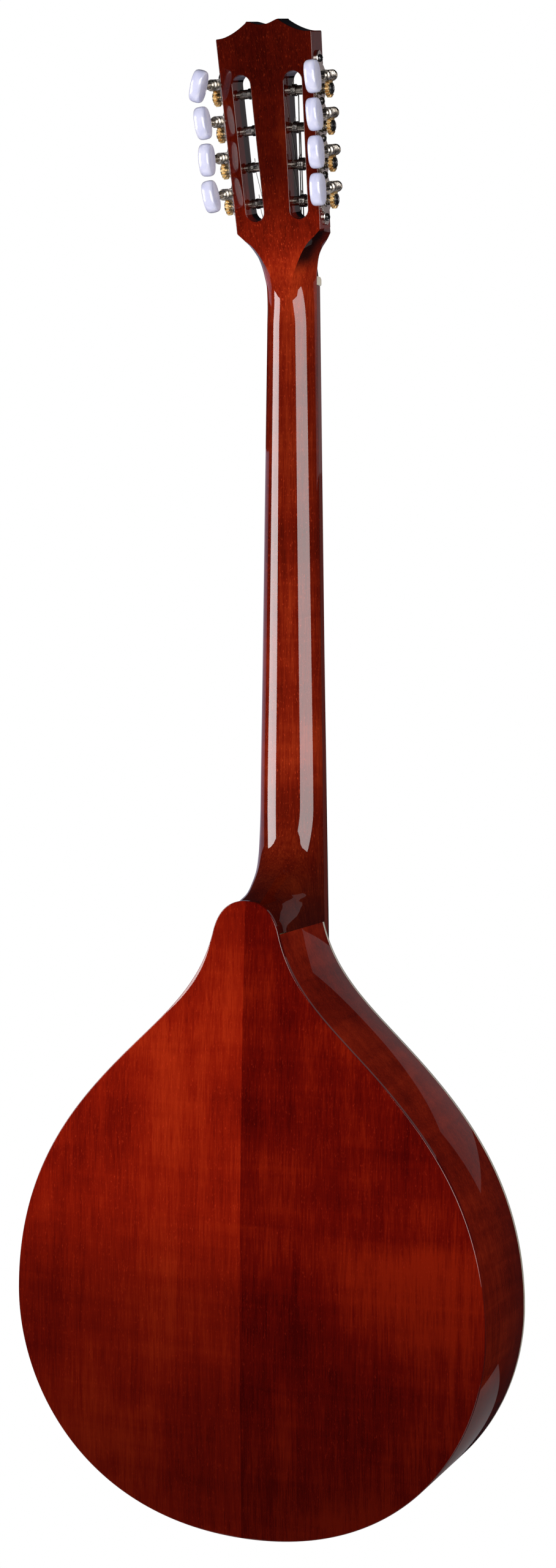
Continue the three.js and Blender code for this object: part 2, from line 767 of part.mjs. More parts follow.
// Plate along one side, with a pair of drilled lugs for each worm and a hole for each post.
function machinePlate(side) {
  const across = (from, to) => [Math.min(side * from, side * to), Math.max(side * from, side * to)];
  const [low, high] = across(gap, gap + plateThickness);
  const lowerLobe = postHeight(0) + wormRise / 2 - plateReach;
  const upperLobe = postHeight(machineCount - 1) + wormRise / 2 + plateReach;
  const lobe = plateEndRadius * 0.6; // each lobe's middle lies this far beyond the full width
  const parts = [block([low, -plateWidth / 2, lowerLobe + lobe], [high, plateWidth / 2, upperLobe - lobe])];
  for (const height of [lowerLobe, upperLobe]) {
    const disc = cylinder(plateEndRadius, plateThickness, 12).rotateZ(Math.PI / 2);
    parts.push(disc.translate((low + high) / 2, 0, height));
  }
  const tools = [];
  const lugFace = wormLength / 2 + gap;
  for (let i = 0; i < machineCount; i += 1) {
    const wormHeight = postHeight(i) + wormRise;
    const [lugLow, lugHigh] = across(gap + plateThickness / 2, wormOffset + wormCrest);
    for (const end of [-1, 1]) {
      const near = Math.min(end * lugFace, end * (lugFace + lugThickness));
      parts.push(block(
        [lugLow, near, wormHeight - lugLength / 2],
        [lugHigh, near + lugThickness, wormHeight + lugLength / 2],
      ));
    }
    const shaftHole = cylinder(shaftRadius + runningGap, plateWidth + 4, 8);
    tools.push(shaftHole.translate(side * wormOffset, 0, wormHeight));
    const postHole = cylinder(postBoreRadius, 4 * plateThickness, 12).rotateZ(Math.PI / 2);
    tools.push(postHole.translate(side * (gap + plateThickness / 2), 0, postHeight(i)));
  }
  return cut(join(parts), tools);
}

function machines(side) {
  const name = side < 0 ? 'bass' : 'treble';
  const frame = sideFrame(side);
  headFrame.add(frame);
  piece(`tuner_plate_${name}`, machinePlate(side), nickel, frame);
  for (let i = 0; i < machineCount; i += 1) {
    const turn = THREE.MathUtils.degToRad(buttonTurns[side < 0 ? 0 : 1][i]);
    const postGroup = new THREE.Group();
    postGroup.position.set(0, 0, postHeight(i));
    const wormGroup = new THREE.Group();
    wormGroup.position.set(side * wormOffset, 0, postHeight(i) + wormRise);
    frame.add(postGroup, wormGroup);
    const label = `${name}_${i + 1}`;
    piece(`post_${label}`, post(side), nickel, postGroup);
    piece(`gear_${label}`, gear(), brass, postGroup).position.x = side * wormOffset;
    piece(`worm_${label}`, worm(), nickel, wormGroup);
    piece(`button_${label}`, button(), pearl, wormGroup).rotation.y = turn;
  }
}
instrument.add(headFrame);
machines(-1);
machines(1);

// ---------------------------------------------------------------- bridge, tailpiece and strings

function bridge() {
  const foot = -gap;
  const half = bridgeWidth / 2;
  const crown = half * 0.62;
  const arch = half * 0.5;
  const body = [
    [half, foot], [half, foot - 2.6], [crown, 1.6 - saddleHeight], [-crown, 1.6 - saddleHeight],
    [-half, foot - 2.6], [-half, foot], [-arch, foot], [-arch * 0.8, foot - 2.4], [arch * 0.8, foot - 2.4],
    [arch, foot],
  ];
  const thick = (z) => body.map(([x, y]) => new THREE.Vector3(x, y, z));
  const base = loft([thick(bridgeHeight - bridgeLength / 2), thick(bridgeHeight + bridgeLength / 2)]);
  const ridge = block(
    [-crown * 0.96, -saddleHeight, bridgeHeight - saddleLength / 2],
    [crown * 0.96, 3 - saddleHeight, bridgeHeight + saddleLength / 2],
  );
  return join([base, ridge]);
}
piece('bridge', bridge(), blackwood);

const tailpieceBack = -gap - tailpieceThickness; // underside of the body, where the flange lies
function tailpiece() {
  const skin = tailpieceThickness;
  const profile = [ // y, z: down the end of the rim, over the edge and up to the comb
    [tailpieceFlange, -gap],
    [tailpieceFlange, tailpieceBack],
    [-gap - skin, tailpieceBack],
    [-gap - skin, tailpieceReach - 6],
    [-hookRise - skin, tailpieceReach],
    [-hookRise, tailpieceReach],
    [-gap, tailpieceReach - 5],
    [-gap, -gap],
  ];
  const ends = [-tailpieceWidth / 2, tailpieceWidth / 2];
  return loft(ends.map((x) => profile.map(([y, z]) => new THREE.Vector3(x, y, z))));
}
piece('tailpiece', tailpiece(), nickel);

// Where a string lands on its roller: distance from the centre line at the nut's own height,
// outer string first.
const landing = [17, 18, 15.6, 16.2];

// One string: straight runs from the tailpiece to the bridge, the nut and the front of its roller.
function string(index) {
  const course = Math.floor(index / 2);
  const pair = (index % 2) - 0.5;
  const side = index < machineCount ? -1 : 1;
  const rank = side < 0 ? index : 2 * machineCount - 1 - index; // 0 is the outermost
  const radius = stringDiameters[course] / 2;
  const lateral = (spacing) => (course - 1.5) * spacing + pair * pairSpacing;
  const landDepth = headThickness / 2 - postRadius - radius - gap;
  const land = new THREE.Vector3(side * landing[rank], landDepth, postHeight(rank));
  land.applyMatrix4(headFrame.matrix);
  const atSaddle = -saddleHeight - radius - nutSlotRise;
  const atNut = fingerboardFace - nutProud - radius - nutSlotRise;
  const places = [
    new THREE.Vector3(lateral(pairSpacing * 1.9), -hookRise - tailpieceThickness / 2, tailpieceReach + gap),
    new THREE.Vector3(lateral(courseSpacingAtBridge), atSaddle, bridgeHeight - saddleLength / 2),
    new THREE.Vector3(lateral(courseSpacingAtBridge), atSaddle, bridgeHeight + saddleLength / 2),
    new THREE.Vector3(lateral(courseSpacingAtNut), atNut, nutHeight + gap),
    new THREE.Vector3(lateral(courseSpacingAtNut), atNut, nutHeight + gap + nutLength - 1),
    land,
  ];
  const sides = 6;
  return loft(places.map((p) => Array.from({ length: sides }, (_, i) => {
    const angle = (2 * Math.PI * i) / sides;
    return new THREE.Vector3(p.x + radius * Math.cos(angle), p.y + radius * Math.sin(angle), p.z);
  })));
}
for (let index = 0; index < 2 * machineCount; index += 1) {
  piece(`string_${index + 1}`, string(index), steel);
}

// ---------------------------------------------------------------- origin at the hanger

const hanger = new THREE.Vector3(0, headThickness / 2, hangerHeight).applyMatrix4(headFrame.matrix);
instrument.position.copy(hanger).negate();

export default instrument;
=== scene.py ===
"""Looks of a long-necked mandolin with a teardrop body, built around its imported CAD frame.

Lengths are millimetres laid out from the tail of the body (z = 0) and the plane of the soundboard
(y = 0), with the strings on the -y side and the treble side on +x. TO_FRAME turns them into the
frame's metres. The camera, the lights, the floor and the materials' heights are in the frame's metres.
"""
import math

import bmesh
import bpy
from mathutils import Matrix, Vector
from mathutils.geometry import tessellate_polygon


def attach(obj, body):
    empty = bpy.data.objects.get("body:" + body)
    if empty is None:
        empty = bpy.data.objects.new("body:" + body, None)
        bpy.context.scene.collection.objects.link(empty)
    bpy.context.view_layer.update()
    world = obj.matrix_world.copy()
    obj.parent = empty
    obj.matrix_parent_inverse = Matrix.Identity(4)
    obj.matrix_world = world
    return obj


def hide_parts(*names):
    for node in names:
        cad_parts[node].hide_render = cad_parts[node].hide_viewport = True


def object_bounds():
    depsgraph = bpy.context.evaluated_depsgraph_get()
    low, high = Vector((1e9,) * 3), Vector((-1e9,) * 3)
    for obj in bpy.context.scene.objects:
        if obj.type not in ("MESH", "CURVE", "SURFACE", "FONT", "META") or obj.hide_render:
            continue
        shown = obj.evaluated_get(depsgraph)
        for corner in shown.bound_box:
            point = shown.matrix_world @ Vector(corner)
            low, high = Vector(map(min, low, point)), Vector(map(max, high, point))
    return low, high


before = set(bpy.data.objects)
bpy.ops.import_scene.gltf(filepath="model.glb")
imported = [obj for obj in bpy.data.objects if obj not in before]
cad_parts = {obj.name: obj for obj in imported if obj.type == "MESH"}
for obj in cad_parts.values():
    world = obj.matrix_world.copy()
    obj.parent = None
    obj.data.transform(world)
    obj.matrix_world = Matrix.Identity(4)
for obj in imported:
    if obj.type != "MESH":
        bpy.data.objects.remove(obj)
cad_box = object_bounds()

# ---------------------------------------------------------------- sizes

WIDEST = (164.0, 148.0)   # half width and height of the body where it is widest
SHOULDER = (97.0, 299.5)
SHOULDER_LEAN = 0.773     # radians between the outline and the centre line
JOINT_HEIGHT = 393.4      # where the body ends and the heel begins
JOINT_HALF_WIDTH = 22.9
JOINT_LEAN = 0.242
BUTTON_LENGTH = 20.7      # the back's tongue over the heel
BODY_LENGTH = JOINT_HEIGHT + BUTTON_LENGTH
EDGE_DEPTHS = (84.0, 81.3, 77.7)   # of the back's edge at the tail, the middle and the button
BACK_DOME = 5.0
BACK_THICKNESS = 2.6
BACK_EDGE_ROUND = 0.5
RIM_THICKNESS = 2.2
BINDING_WIDTH = 1.6
BINDING_DEPTH = 3.0
TOP_THICKNESS = 2.8
SOUNDHOLE = (46.0, 35.0, 284.0)    # half width, half length, height

NUT_HEIGHT = 811.6
SCALE_LENGTH = 668.0
NUT_WIDTH = 33.2
NECK_WIDENING = 0.031     # extra width for each millimetre down from the nut
NECK_DEPTH_AT_NUT = 14.6
NECK_DEPTH_AT_HEEL = 14.2
BOARD_THICKNESS = 5.5
FRETS = 22
GAP = 0.3

HEAD_TILT = math.radians(11.9)
HEAD_FLARE = math.radians(1.73)
HEAD_THICKNESS = 18.0
HEAD_HALF_WIDTH = 29.3    # at the shoulders
SHOULDER_TOP = 35.5
HEAD_SIDE_TOP = 158.9
CREST_HEIGHT = 9.1
CREST_HORN = 11.0
CREST_DIP = 2.6
SLOT_WIDTH = 12.4
SLOT_INSET = 8.1
SLOT_BOTTOM = 43.5
SLOT_TOP = 135.6
EDGE_ROUND = 0.45         # on the corners of the headstock and its slots

MACHINES = 4              # on each side
FIRST_POST = 54.2
MACHINE_PITCH = 23.0
POST_RADIUS = 3.0
POST_SEAT = 5.0
GEAR_TEETH = 14
GEAR_RADIUS = 5.2
GEAR_THICKNESS = 2.6
WORM_PITCH_RADIUS = 2.8
WORM_CREST = 3.4
WORM_ROOT = 2.1
WORM_LENGTH = 9.6
WORM_OFFSET = 7.0
WORM_RISE = GEAR_RADIUS + WORM_PITCH_RADIUS
TOOTH_PITCH = 2 * math.pi * GEAR_RADIUS / GEAR_TEETH
PLATE_THICKNESS = 1.2
PLATE_WIDTH = 16.0
PLATE_LOBE = 5.0
PLATE_REACH = 14.8        # from the middle of each end machine out to the lobe's middle
SCALLOP_DEPTH = 3.2       # of the plate's waist at each screw, and how far it spreads
SCALLOP_SPREAD = 3.4
LUG_RADIUS = 3.6
LUG_THICKNESS = 1.2
SHAFT_RADIUS = 1.4
BUTTON_SIZE = (7.6, 13.0, 20.6)
BUTTON_CENTRE = 27.5
BUTTON_TURNS = {-1: (1, 2, 4, 4), 1: (6, -2, 3, -20)}
LANDINGS = (17.0, 18.0, 15.6, 16.2)    # from the middle line to each post's string, lowest post first
STRING_DIAMETERS = (1.15, 0.85, 0.55, 0.4)
COURSES = {-1: (0, 0, 1, 1), 1: (3, 3, 2, 2)}   # which diameter each post winds
HANGER_HEIGHT = 24.0

SIDES = {-1: "bass", 1: "treble"}
MAIN = "instrument"

HEAD = Matrix.Translation((0, 0, NUT_HEIGHT)) @ Matrix.Rotation(-HEAD_TILT, 4, "X")
HANGER = HEAD @ Vector((0, HEAD_THICKNESS / 2, HANGER_HEIGHT))
TO_FRAME = Matrix.Scale(0.001, 4) @ Matrix.Translation(-HANGER)


def head_half_width(height):
    return HEAD_HALF_WIDTH + (height - SHOULDER_TOP) * math.tan(HEAD_FLARE)


def mirror(side):
    """Turns a treble-side shape into the bass side's, and leaves a treble-side one as it is."""
    return Matrix.Scale(side, 4, (1, 0, 0))


def mix(a, b, share):
    return a + (b - a) * share


def ease(share):
    """Smooth step from 0 to 1, held at its ends."""
    share = max(0.0, min(1.0, share))
    return share * share * (3 - 2 * share)


# ---------------------------------------------------------------- camera and lights

def aim(thing, place, target):
    thing.location = place
    thing.rotation_euler = (Vector(target) - Vector(place)).to_track_quat("-Z", "Y").to_euler()
    bpy.context.scene.collection.objects.link(thing)


camera_data = bpy.data.cameras.new("camera")
camera_data.sensor_fit = "VERTICAL"
camera_data.sensor_height = 36.0
camera_data.lens = 58.7
camera = bpy.data.objects.new("camera", camera_data)
CAMERA_PLACE = Vector((-0.656, 1.550, -0.236))
CAMERA_TARGET = Vector((0.009, -0.010, -0.349))
CAMERA_ROLL = 0.05   # degrees
aim(camera, CAMERA_PLACE, CAMERA_TARGET)
camera.rotation_euler.rotate_axis("Z", math.radians(CAMERA_ROLL))
bpy.context.scene.camera = camera


def softbox(name, angle, rise, distance, width, height, radiance, colour=(1, 1, 1)):
    """A flat light that faces the upright through the origin, angle degrees to the camera's right."""
    heading = math.atan2(CAMERA_PLACE.x, -CAMERA_PLACE.y) + math.radians(angle)
    centre = Vector((0, 0, rise))
    place = centre + Vector((math.sin(heading) * distance, -math.cos(heading) * distance, 0))
    data = bpy.data.lights.new(name, "AREA")
    data.shape = "RECTANGLE"
    data.size = width
    data.size_y = height
    data.energy = radiance * math.pi * width * height
    data.color = colour
    light = bpy.data.objects.new(name, data)
    light.visible_camera = False
    aim(light, place, centre)


softbox("softbox_right", 17, -0.1, 2.6, 2.85, 1.35, 6.6, (1.0, 0.96, 0.95))
softbox("softbox_left", -75, -0.1, 2.4, 1.2, 1.35, 11.0, (1.0, 0.95, 0.95))
softbox("glow", 137, 0.52, 2.5, 2.4, 1.0, 0.26, (1.0, 0.86, 0.90))
for angle, radiance in ((159, 0.25), (185, 0.4), (211, 0.7), (237, 0.7)):
    softbox(f"background_{angle}", angle, -0.5, 2.6, 1.18, 1.1, radiance, (0.80, 0.76, 1.0))

world = bpy.data.worlds.new("studio")
bpy.context.scene.world = world
bpy.context.scene.view_settings.view_transform = "Standard"
world.use_nodes = True
backdrop = world.node_tree.nodes["Background"]
backdrop.inputs["Strength"].default_value = 1.0
seen = world.node_tree.nodes.new("ShaderNodeLightPath")
tints = world.node_tree.nodes.new("ShaderNodeMix")
tints.data_type = "RGBA"
tints.inputs[6].default_value = (0.012, 0.012, 0.015, 1)   # what lights the instrument
tints.inputs[7].default_value = (1.0, 1.0, 1.0, 1)        # what is seen behind it
world.node_tree.links.new(seen.outputs["Is Camera Ray"], tints.inputs[0])
world.node_tree.links.new(tints.outputs[2], backdrop.inputs["Color"])

# ---------------------------------------------------------------- materials


class Paint:
    """A material with a Principled shader, and short calls for the nodes that feed it."""

    def __init__(self, name, **constants):
        self.material = bpy.data.materials.new(name)
        self.material.use_nodes = True
        self.tree = self.material.node_tree
        self.shader = self.tree.nodes["Principled BSDF"]
        self.place = self.node("TexCoord").outputs["Object"]
        for socket, value in constants.items():
            self.shader.inputs[socket.replace("_", " ")].default_value = value

    def node(self, kind):
        return self.tree.nodes.new(f"ShaderNode{kind}")

    def feed(self, node, socket, value):
        if isinstance(value, bpy.types.NodeSocket):
            self.tree.links.new(value, node.inputs[socket])
        else:
            node.inputs[socket].default_value = value

    def stretch(self, x, y, z):
        node = self.node("Mapping")
        node.inputs["Scale"].default_value = (x, y, z)
        self.tree.links.new(self.place, node.inputs["Vector"])
        return node.outputs["Vector"]

    def noise(self, vector, scale=1.0, detail=3.0, rough=0.5, warp=0.0):
        node = self.node("TexNoise")
        self.feed(node, "Vector", vector)
        node.inputs["Scale"].default_value = scale
        node.inputs["Detail"].default_value = detail
        node.inputs["Roughness"].default_value = rough
        node.inputs["Distortion"].default_value = warp
        return node.outputs["Fac"]

    def part(self, axis):
        node = self.node("SeparateXYZ")
        self.tree.links.new(self.place, node.inputs["Vector"])
        return node.outputs[axis]

    def math(self, operation, a, b=0.0):
        node = self.node("Math")
        node.operation = operation
        self.feed(node, 0, a)
        self.feed(node, 1, b)
        return node.outputs[0]

    def total(self, *parts):
        """The sum of values, each times its weight."""
        total, *others = [self.math("MULTIPLY", value, weight) for value, weight in parts]
        for other in others:
            total = self.math("ADD", total, other)
        return total

    def product(self, first, *others):
        for other in others:
            first = self.math("MULTIPLY", first, other)
        return first

    def span(self, value, low, high, to_low=0.0, to_high=1.0):
        node = self.node("MapRange")
        node.interpolation_type = "SMOOTHSTEP"
        for socket, number in zip(("Value", "From Min", "From Max", "To Min", "To Max"),
                                  (value, low, high, to_low, to_high)):
            self.feed(node, socket, number)
        return node.outputs["Result"]

    def ramp(self, value, *stops):
        node = self.node("ValToRGB")
        while len(node.color_ramp.elements) < len(stops):
            node.color_ramp.elements.new(0.5)
        for element, (position, colour) in zip(node.color_ramp.elements, stops):
            element.position = position
            element.color = (*colour, 1)
        self.tree.links.new(value, node.inputs["Fac"])
        return node.outputs["Color"]

    def blend(self, share, a, b, how="MIX"):
        node = self.node("Mix")
        node.data_type = "RGBA"
        node.blend_type = how
        self.feed(node, 0, share)
        self.feed(node, 6, a if isinstance(a, bpy.types.NodeSocket) else (*a, 1))
        self.feed(node, 7, b if isinstance(b, bpy.types.NodeSocket) else (*b, 1))
        return node.outputs[2]

    def colour(self, value):
        self.feed(self.shader, "Base Color", value)

    def rough(self, value):
        self.feed(self.shader, "Roughness", value)

    def bump(self, height, depth, strength=1.0):
        node = self.node("Bump")
        node.inputs["Distance"].default_value = depth
        node.inputs["Strength"].default_value = strength
        self.tree.links.new(height, node.inputs["Height"])
        self.tree.links.new(node.outputs["Normal"], self.shader.inputs["Normal"])


def head_painted_shade(paint, stain_and_painted_light):
    """Paints shade into the headstock: on the front half of the slots' walls, on the crest's wall and in the
    scoops beside the throat's flat.
    """
    turned_place = paint.node("Mapping")
    turned_place.inputs["Location"].default_value = (0, HEAD_THICKNESS / 2, HANGER_HEIGHT)
    turned_place.inputs["Rotation"].default_value = (HEAD_TILT, 0, 0)
    turned_place.inputs["Scale"].default_value = (1000, 1000, 1000)
    paint.tree.links.new(paint.place, turned_place.inputs["Vector"])
    split = paint.node("SeparateXYZ")
    paint.tree.links.new(turned_place.outputs["Vector"], split.inputs["Vector"])
    x, depth, height = split.outputs
    lean = paint.math("MULTIPLY", height, math.tan(HEAD_FLARE))
    across = paint.math("SUBTRACT", paint.math("ABSOLUTE", x), lean)
    outer = head_half_width(0) - SLOT_INSET + 0.1
    middle = HEAD_THICKNESS / 2
    in_slot = paint.product(
        paint.math("LESS_THAN", across, outer), paint.math("GREATER_THAN", across, outer - SLOT_WIDTH - 0.2),
        paint.span(depth, middle + 0.2, middle - 0.2), paint.math("GREATER_THAN", height, SLOT_BOTTOM - 0.5),
        paint.math("GREATER_THAN", depth, 0.3))
    on_crest = paint.product(
        paint.math("GREATER_THAN", height, HEAD_SIDE_TOP - 0.1), paint.math("GREATER_THAN", depth, 0.2),
        paint.math("LESS_THAN", depth, HEAD_THICKNESS - 0.15), 0.97)
    in_scoop = paint.product(
        paint.span(height, 7, 20), paint.span(height, SHOULDER_TOP + 1.5, SHOULDER_TOP - 1),
        paint.math("LESS_THAN", depth, HEAD_THICKNESS - 0.05), paint.span(depth, 3, 14, 0.45, 0.96))
    # painted shade: these masks blend the wood towards near black where shade falls in the slots, on the
    # crest's wall and in the scoops
    dark = paint.math("MAXIMUM", paint.math("MAXIMUM", in_slot, on_crest), in_scoop)
    return paint.blend(dark, stain_and_painted_light, (0.004, 0.002, 0.002))


def maple(name, deep, middle, bright, painted_shade_by_height, flame=0.10, painted_glint_strength=0.35, band=0.0, head=False):
    """Stained maple under a thick clear gloss: fine upright fibres, faint flames across, tiny specks of
    painted glint.

    The fifth argument holds pairs of a height and how bright painted light and shade make the wood there,
    from the lowest up. band is the strength of a paler stripe across the widest part, and head adds painted
    shade in the headstock's slots, on its crest's wall and in the scoops beside the throat's flat."""
    paint = Paint(name, Coat_Weight=1.0, Coat_Roughness=0.02, Coat_IOR=1.5, Specular_IOR_Level=0.0)
    fibre = paint.noise(paint.stretch(900, 900, 45), detail=4, rough=0.65)
    streak = paint.noise(paint.stretch(110, 110, 6), detail=3, warp=0.3)
    cloud = paint.noise(paint.stretch(11, 11, 13), detail=3)
    flames = paint.noise(paint.stretch(9, 9, 120), detail=2, warp=0.6)
    flames = paint.math("SUBTRACT", flames, 0.5)
    tone = paint.total((fibre, 0.34), (streak, 0.2), (cloud, 0.46), (flames, flame))
    if band:
        height, stripe = paint.part("Z"), -0.655
        lift = paint.product(
            paint.span(height, stripe - 0.06, stripe), paint.span(height, stripe + 0.04, stripe),
            paint.span(paint.part("X"), -0.03, -0.11), band)
        tone = paint.math("ADD", tone, lift)
    stain_and_painted_light = paint.ramp(tone, (0.38, deep), (0.5, middle), (0.62, bright))
    # painted glints: a fine noise picks tiny specks that are lightened towards a glint colour
    pores = paint.span(paint.noise(paint.stretch(1500, 1500, 420), detail=1), 0.62, 0.78)
    glint = tuple(min(1.0, 1.7 * value + 0.004) for value in bright)
    stain_and_painted_light = paint.blend(paint.math("MULTIPLY", pores, painted_glint_strength), stain_and_painted_light, glint)
    if head:
        stain_and_painted_light = head_painted_shade(paint, stain_and_painted_light)
    # painted light and shade: the wood is multiplied darker or kept bright according to its height
    low, high = painted_shade_by_height[0][0], painted_shade_by_height[-1][0]
    along = paint.math("DIVIDE", paint.math("SUBTRACT", paint.part("Z"), low), high - low)
    painted_light_tint = paint.ramp(along, *[((height - low) / (high - low), (shade,) * 3) for height, shade in painted_shade_by_height])
    paint.colour(paint.blend(1.0, stain_and_painted_light, painted_light_tint, "MULTIPLY"))
    paint.rough(paint.span(fibre, 0.3, 0.7, 0.36, 0.48))
    paint.bump(fibre, 0.00002, 0.25)
    return paint.material


def hardwood(name, lacquered_sides=False):
    paint = Paint(name, Specular_IOR_Level=0.35, Coat_Roughness=0.03)
    grain = paint.noise(paint.stretch(260, 260, 7), detail=5, rough=0.6, warp=0.5)
    pores = paint.noise(paint.stretch(1600, 1600, 60), detail=2)
    tone = paint.total((grain, 0.7), (pores, 0.3))
    colour = paint.ramp(tone, (0.38, (0.012, 0.006, 0.005)), (0.62, (0.075, 0.032, 0.02)))
    if lacquered_sides:
        split = paint.node("SeparateXYZ")
        facing = paint.node("TexCoord").outputs["Normal"]
        paint.tree.links.new(facing, split.inputs["Vector"])
        sideways = paint.math("GREATER_THAN", paint.math("ABSOLUTE", split.outputs["X"]), 0.7)
        colour = paint.blend(sideways, colour, (0.12, 0.012, 0.004))
        paint.feed(paint.shader, "Coat Weight", sideways)
    paint.colour(colour)
    paint.rough(paint.span(pores, 0.3, 0.7, 0.3, 0.5))
    paint.bump(pores, 0.00008, 0.5)
    return paint.material


def spruce(name, light, dark, gloss):
    paint = Paint(name, Coat_Weight=gloss, Coat_Roughness=0.05)
    rings = paint.node("TexWave")
    rings.bands_direction = "X"
    rings.inputs["Scale"].default_value = 190
    rings.inputs["Distortion"].default_value = 1.2
    rings.inputs["Detail"].default_value = 2
    rings.inputs["Detail Scale"].default_value = 0.4
    paint.tree.links.new(paint.stretch(1, 0.4, 0.03), rings.inputs["Vector"])
    fibre = paint.noise(paint.stretch(900, 900, 30), detail=3)
    tone = paint.total((rings.outputs["Fac"], 0.7), (fibre, 0.3))
    colour = paint.ramp(tone, (0.15, light), (0.85, dark))
    paint.rough(paint.span(fibre, 0.3, 0.7, 0.42, 0.58))
    paint.bump(tone, 0.00003, 0.4)
    return paint, colour


def inner_wood():
    paint, colour = spruce("inner_wood", (0.62, 0.45, 0.25), (0.42, 0.27, 0.13), 0.0)
    paint.colour(colour)
    return paint.material


def top_wood():
    """Spruce with an inlaid ring of dark and pale lines round the soundhole."""
    paint, colour = spruce("spruce", (0.86, 0.60, 0.30), (0.66, 0.37, 0.14), 0.9)
    half_width, half_length, height = SOUNDHOLE
    centre = TO_FRAME @ Vector((0, 0, height))
    across = paint.math("DIVIDE", paint.math("SUBTRACT", paint.part("X"), centre.x), half_width / 1000)
    along = paint.math("DIVIDE", paint.math("SUBTRACT", paint.part("Z"), centre.z), half_length / 1000)
    reach = paint.math("ADD", paint.math("POWER", across, 2), paint.math("POWER", along, 2))
    reach = paint.math("SQRT", reach)
    for inner, outer, tint in ((1.07, 1.30, (0.03, 0.012, 0.008)), (1.10, 1.125, (0.8, 0.7, 0.5)),
                               (1.16, 1.21, (0.55, 0.12, 0.05)), (1.245, 1.27, (0.8, 0.7, 0.5))):
        inside = paint.math("GREATER_THAN", reach, inner)
        inside = paint.math("MULTIPLY", inside, paint.math("LESS_THAN", reach, outer))
        colour = paint.blend(inside, colour, tint)
    paint.colour(colour)
    return paint.material


def bone():
    paint = Paint("bone", Coat_Weight=0.4, Coat_Roughness=0.1, Subsurface_Weight=0.1)
    cloud = paint.noise(paint.stretch(160, 160, 60), detail=4)
    paint.colour(paint.ramp(cloud, (0.3, (0.74, 0.66, 0.48)), (0.7, (0.86, 0.80, 0.66))))
    paint.rough(paint.span(cloud, 0.3, 0.7, 0.28, 0.4))
    return paint.material


def pearl():
    """Pearly plastic: slow milky swirls from white to blue-grey under a gloss."""
    paint = Paint("pearl", Coat_Weight=1.0, Coat_Roughness=0.06)
    swirl = paint.noise(paint.stretch(110, 110, 55), detail=3, rough=0.45, warp=2.2)
    veil = paint.noise(paint.stretch(330, 330, 120), detail=2, warp=1.0)
    tone = paint.total((swirl, 0.75), (veil, 0.25))
    paint.colour(paint.ramp(tone, (0.32, (0.50, 0.53, 0.74)), (0.5, (0.58, 0.61, 0.79)),
                            (0.66, (0.68, 0.70, 0.84))))
    paint.rough(paint.span(tone, 0.35, 0.65, 0.34, 0.2))
    return paint.material


def metal(name, dark, light, low, high, pits=0.00002):
    paint = Paint(name, Metallic=1.0)
    wear = paint.noise(paint.stretch(420, 420, 420), detail=4, rough=0.6)
    smear = paint.noise(paint.stretch(90, 90, 90), detail=2)
    tone = paint.total((wear, 0.5), (smear, 0.5))
    paint.colour(paint.ramp(tone, (0.38, dark), (0.62, light)))
    paint.rough(paint.span(wear, 0.3, 0.7, low, high))
    paint.bump(wear, pits, 0.4)
    return paint.material


def wound_wire():
    """Wire with fine turns along its length."""
    paint = Paint("string_steel", Metallic=1.0)
    turns = paint.node("TexWave")
    turns.bands_direction = "Z"
    turns.inputs["Scale"].default_value = 900
    paint.tree.links.new(paint.place, turns.inputs["Vector"])
    paint.colour(paint.ramp(turns.outputs["Fac"], (0.0, (0.14, 0.13, 0.12)), (1.0, (0.34, 0.33, 0.31))))
    paint.rough(paint.span(turns.outputs["Fac"], 0.0, 1.0, 0.3, 0.2))
    paint.bump(turns.outputs["Fac"], 0.00006, 0.5)
    return paint.material


def studio_floor():
    paint = Paint("studio_floor", Roughness=0.9, Specular_IOR_Level=0.1)
    grain = paint.noise(paint.stretch(30, 30, 30), detail=2)
    paint.colour(paint.ramp(grain, (0.3, (0.93, 0.93, 0.94)), (0.7, (0.95, 0.95, 0.95))))
    return paint.material


# Each list of heights below is painted light and shade: it darkens the maple towards the bottom, and the
# neck's also round the heel and over the headstock.
MAPLE_LEFT = maple(
    "maple_back_treble", (0.12, 0.0030, 0.0008), (0.20, 0.0070, 0.0014), (0.29, 0.017, 0.003),
    ((-0.80, 0.28), (-0.68, 0.50), (-0.62, 0.85), (-0.50, 0.95), (-0.44, 0.80)))
# The bass half's maple is darker than the treble half's above. This is partly its own figure and partly
# painted shade, since the bass half catches less of the lamps' light and its figure shimmers less from this
# side.
MAPLE_RIGHT = maple(
    "maple_back_bass", (0.047, 0.0006, 0.0003), (0.094, 0.0022, 0.0005), (0.17, 0.0075, 0.0012),
    ((-0.80, 0.34), (-0.70, 0.62), (-0.62, 0.95), (-0.50, 1.0)), band=0.10)
# head=True adds painted shade to the headstock's slots, crest wall and scoops
MAPLE_NECK = maple(
    "maple_neck", (0.10, 0.0048, 0.0012), (0.20, 0.0105, 0.0024), (0.34, 0.030, 0.006),
    ((-0.43, 0.20), (-0.39, 0.45), (-0.33, 0.75), (-0.12, 0.55), (-0.05, 0.70), (-0.01, 1.0),
     (0.014, 0.72), (0.045, 0.30), (0.14, 0.26)), painted_glint_strength=0.7, head=True)
MAPLE_RIM = maple(
    "maple_rim", (0.07, 0.0032, 0.0014), (0.13, 0.0070, 0.0022), (0.21, 0.015, 0.004),
    ((-0.80, 0.22), (-0.70, 0.50), (-0.55, 1.0)), flame=0.2)
HARDWOOD = hardwood("dark_hardwood")
BOARD = hardwood("fingerboard_wood", lacquered_sides=True)
INNER = inner_wood()
TOP = top_wood()
BONE = bone()
PEARL = pearl()
NICKEL = metal("nickel", (0.20, 0.18, 0.15), (0.52, 0.49, 0.44), 0.20, 0.38)
DARK_NICKEL = metal("dark_nickel", (0.05, 0.05, 0.05), (0.14, 0.14, 0.15), 0.22, 0.4)
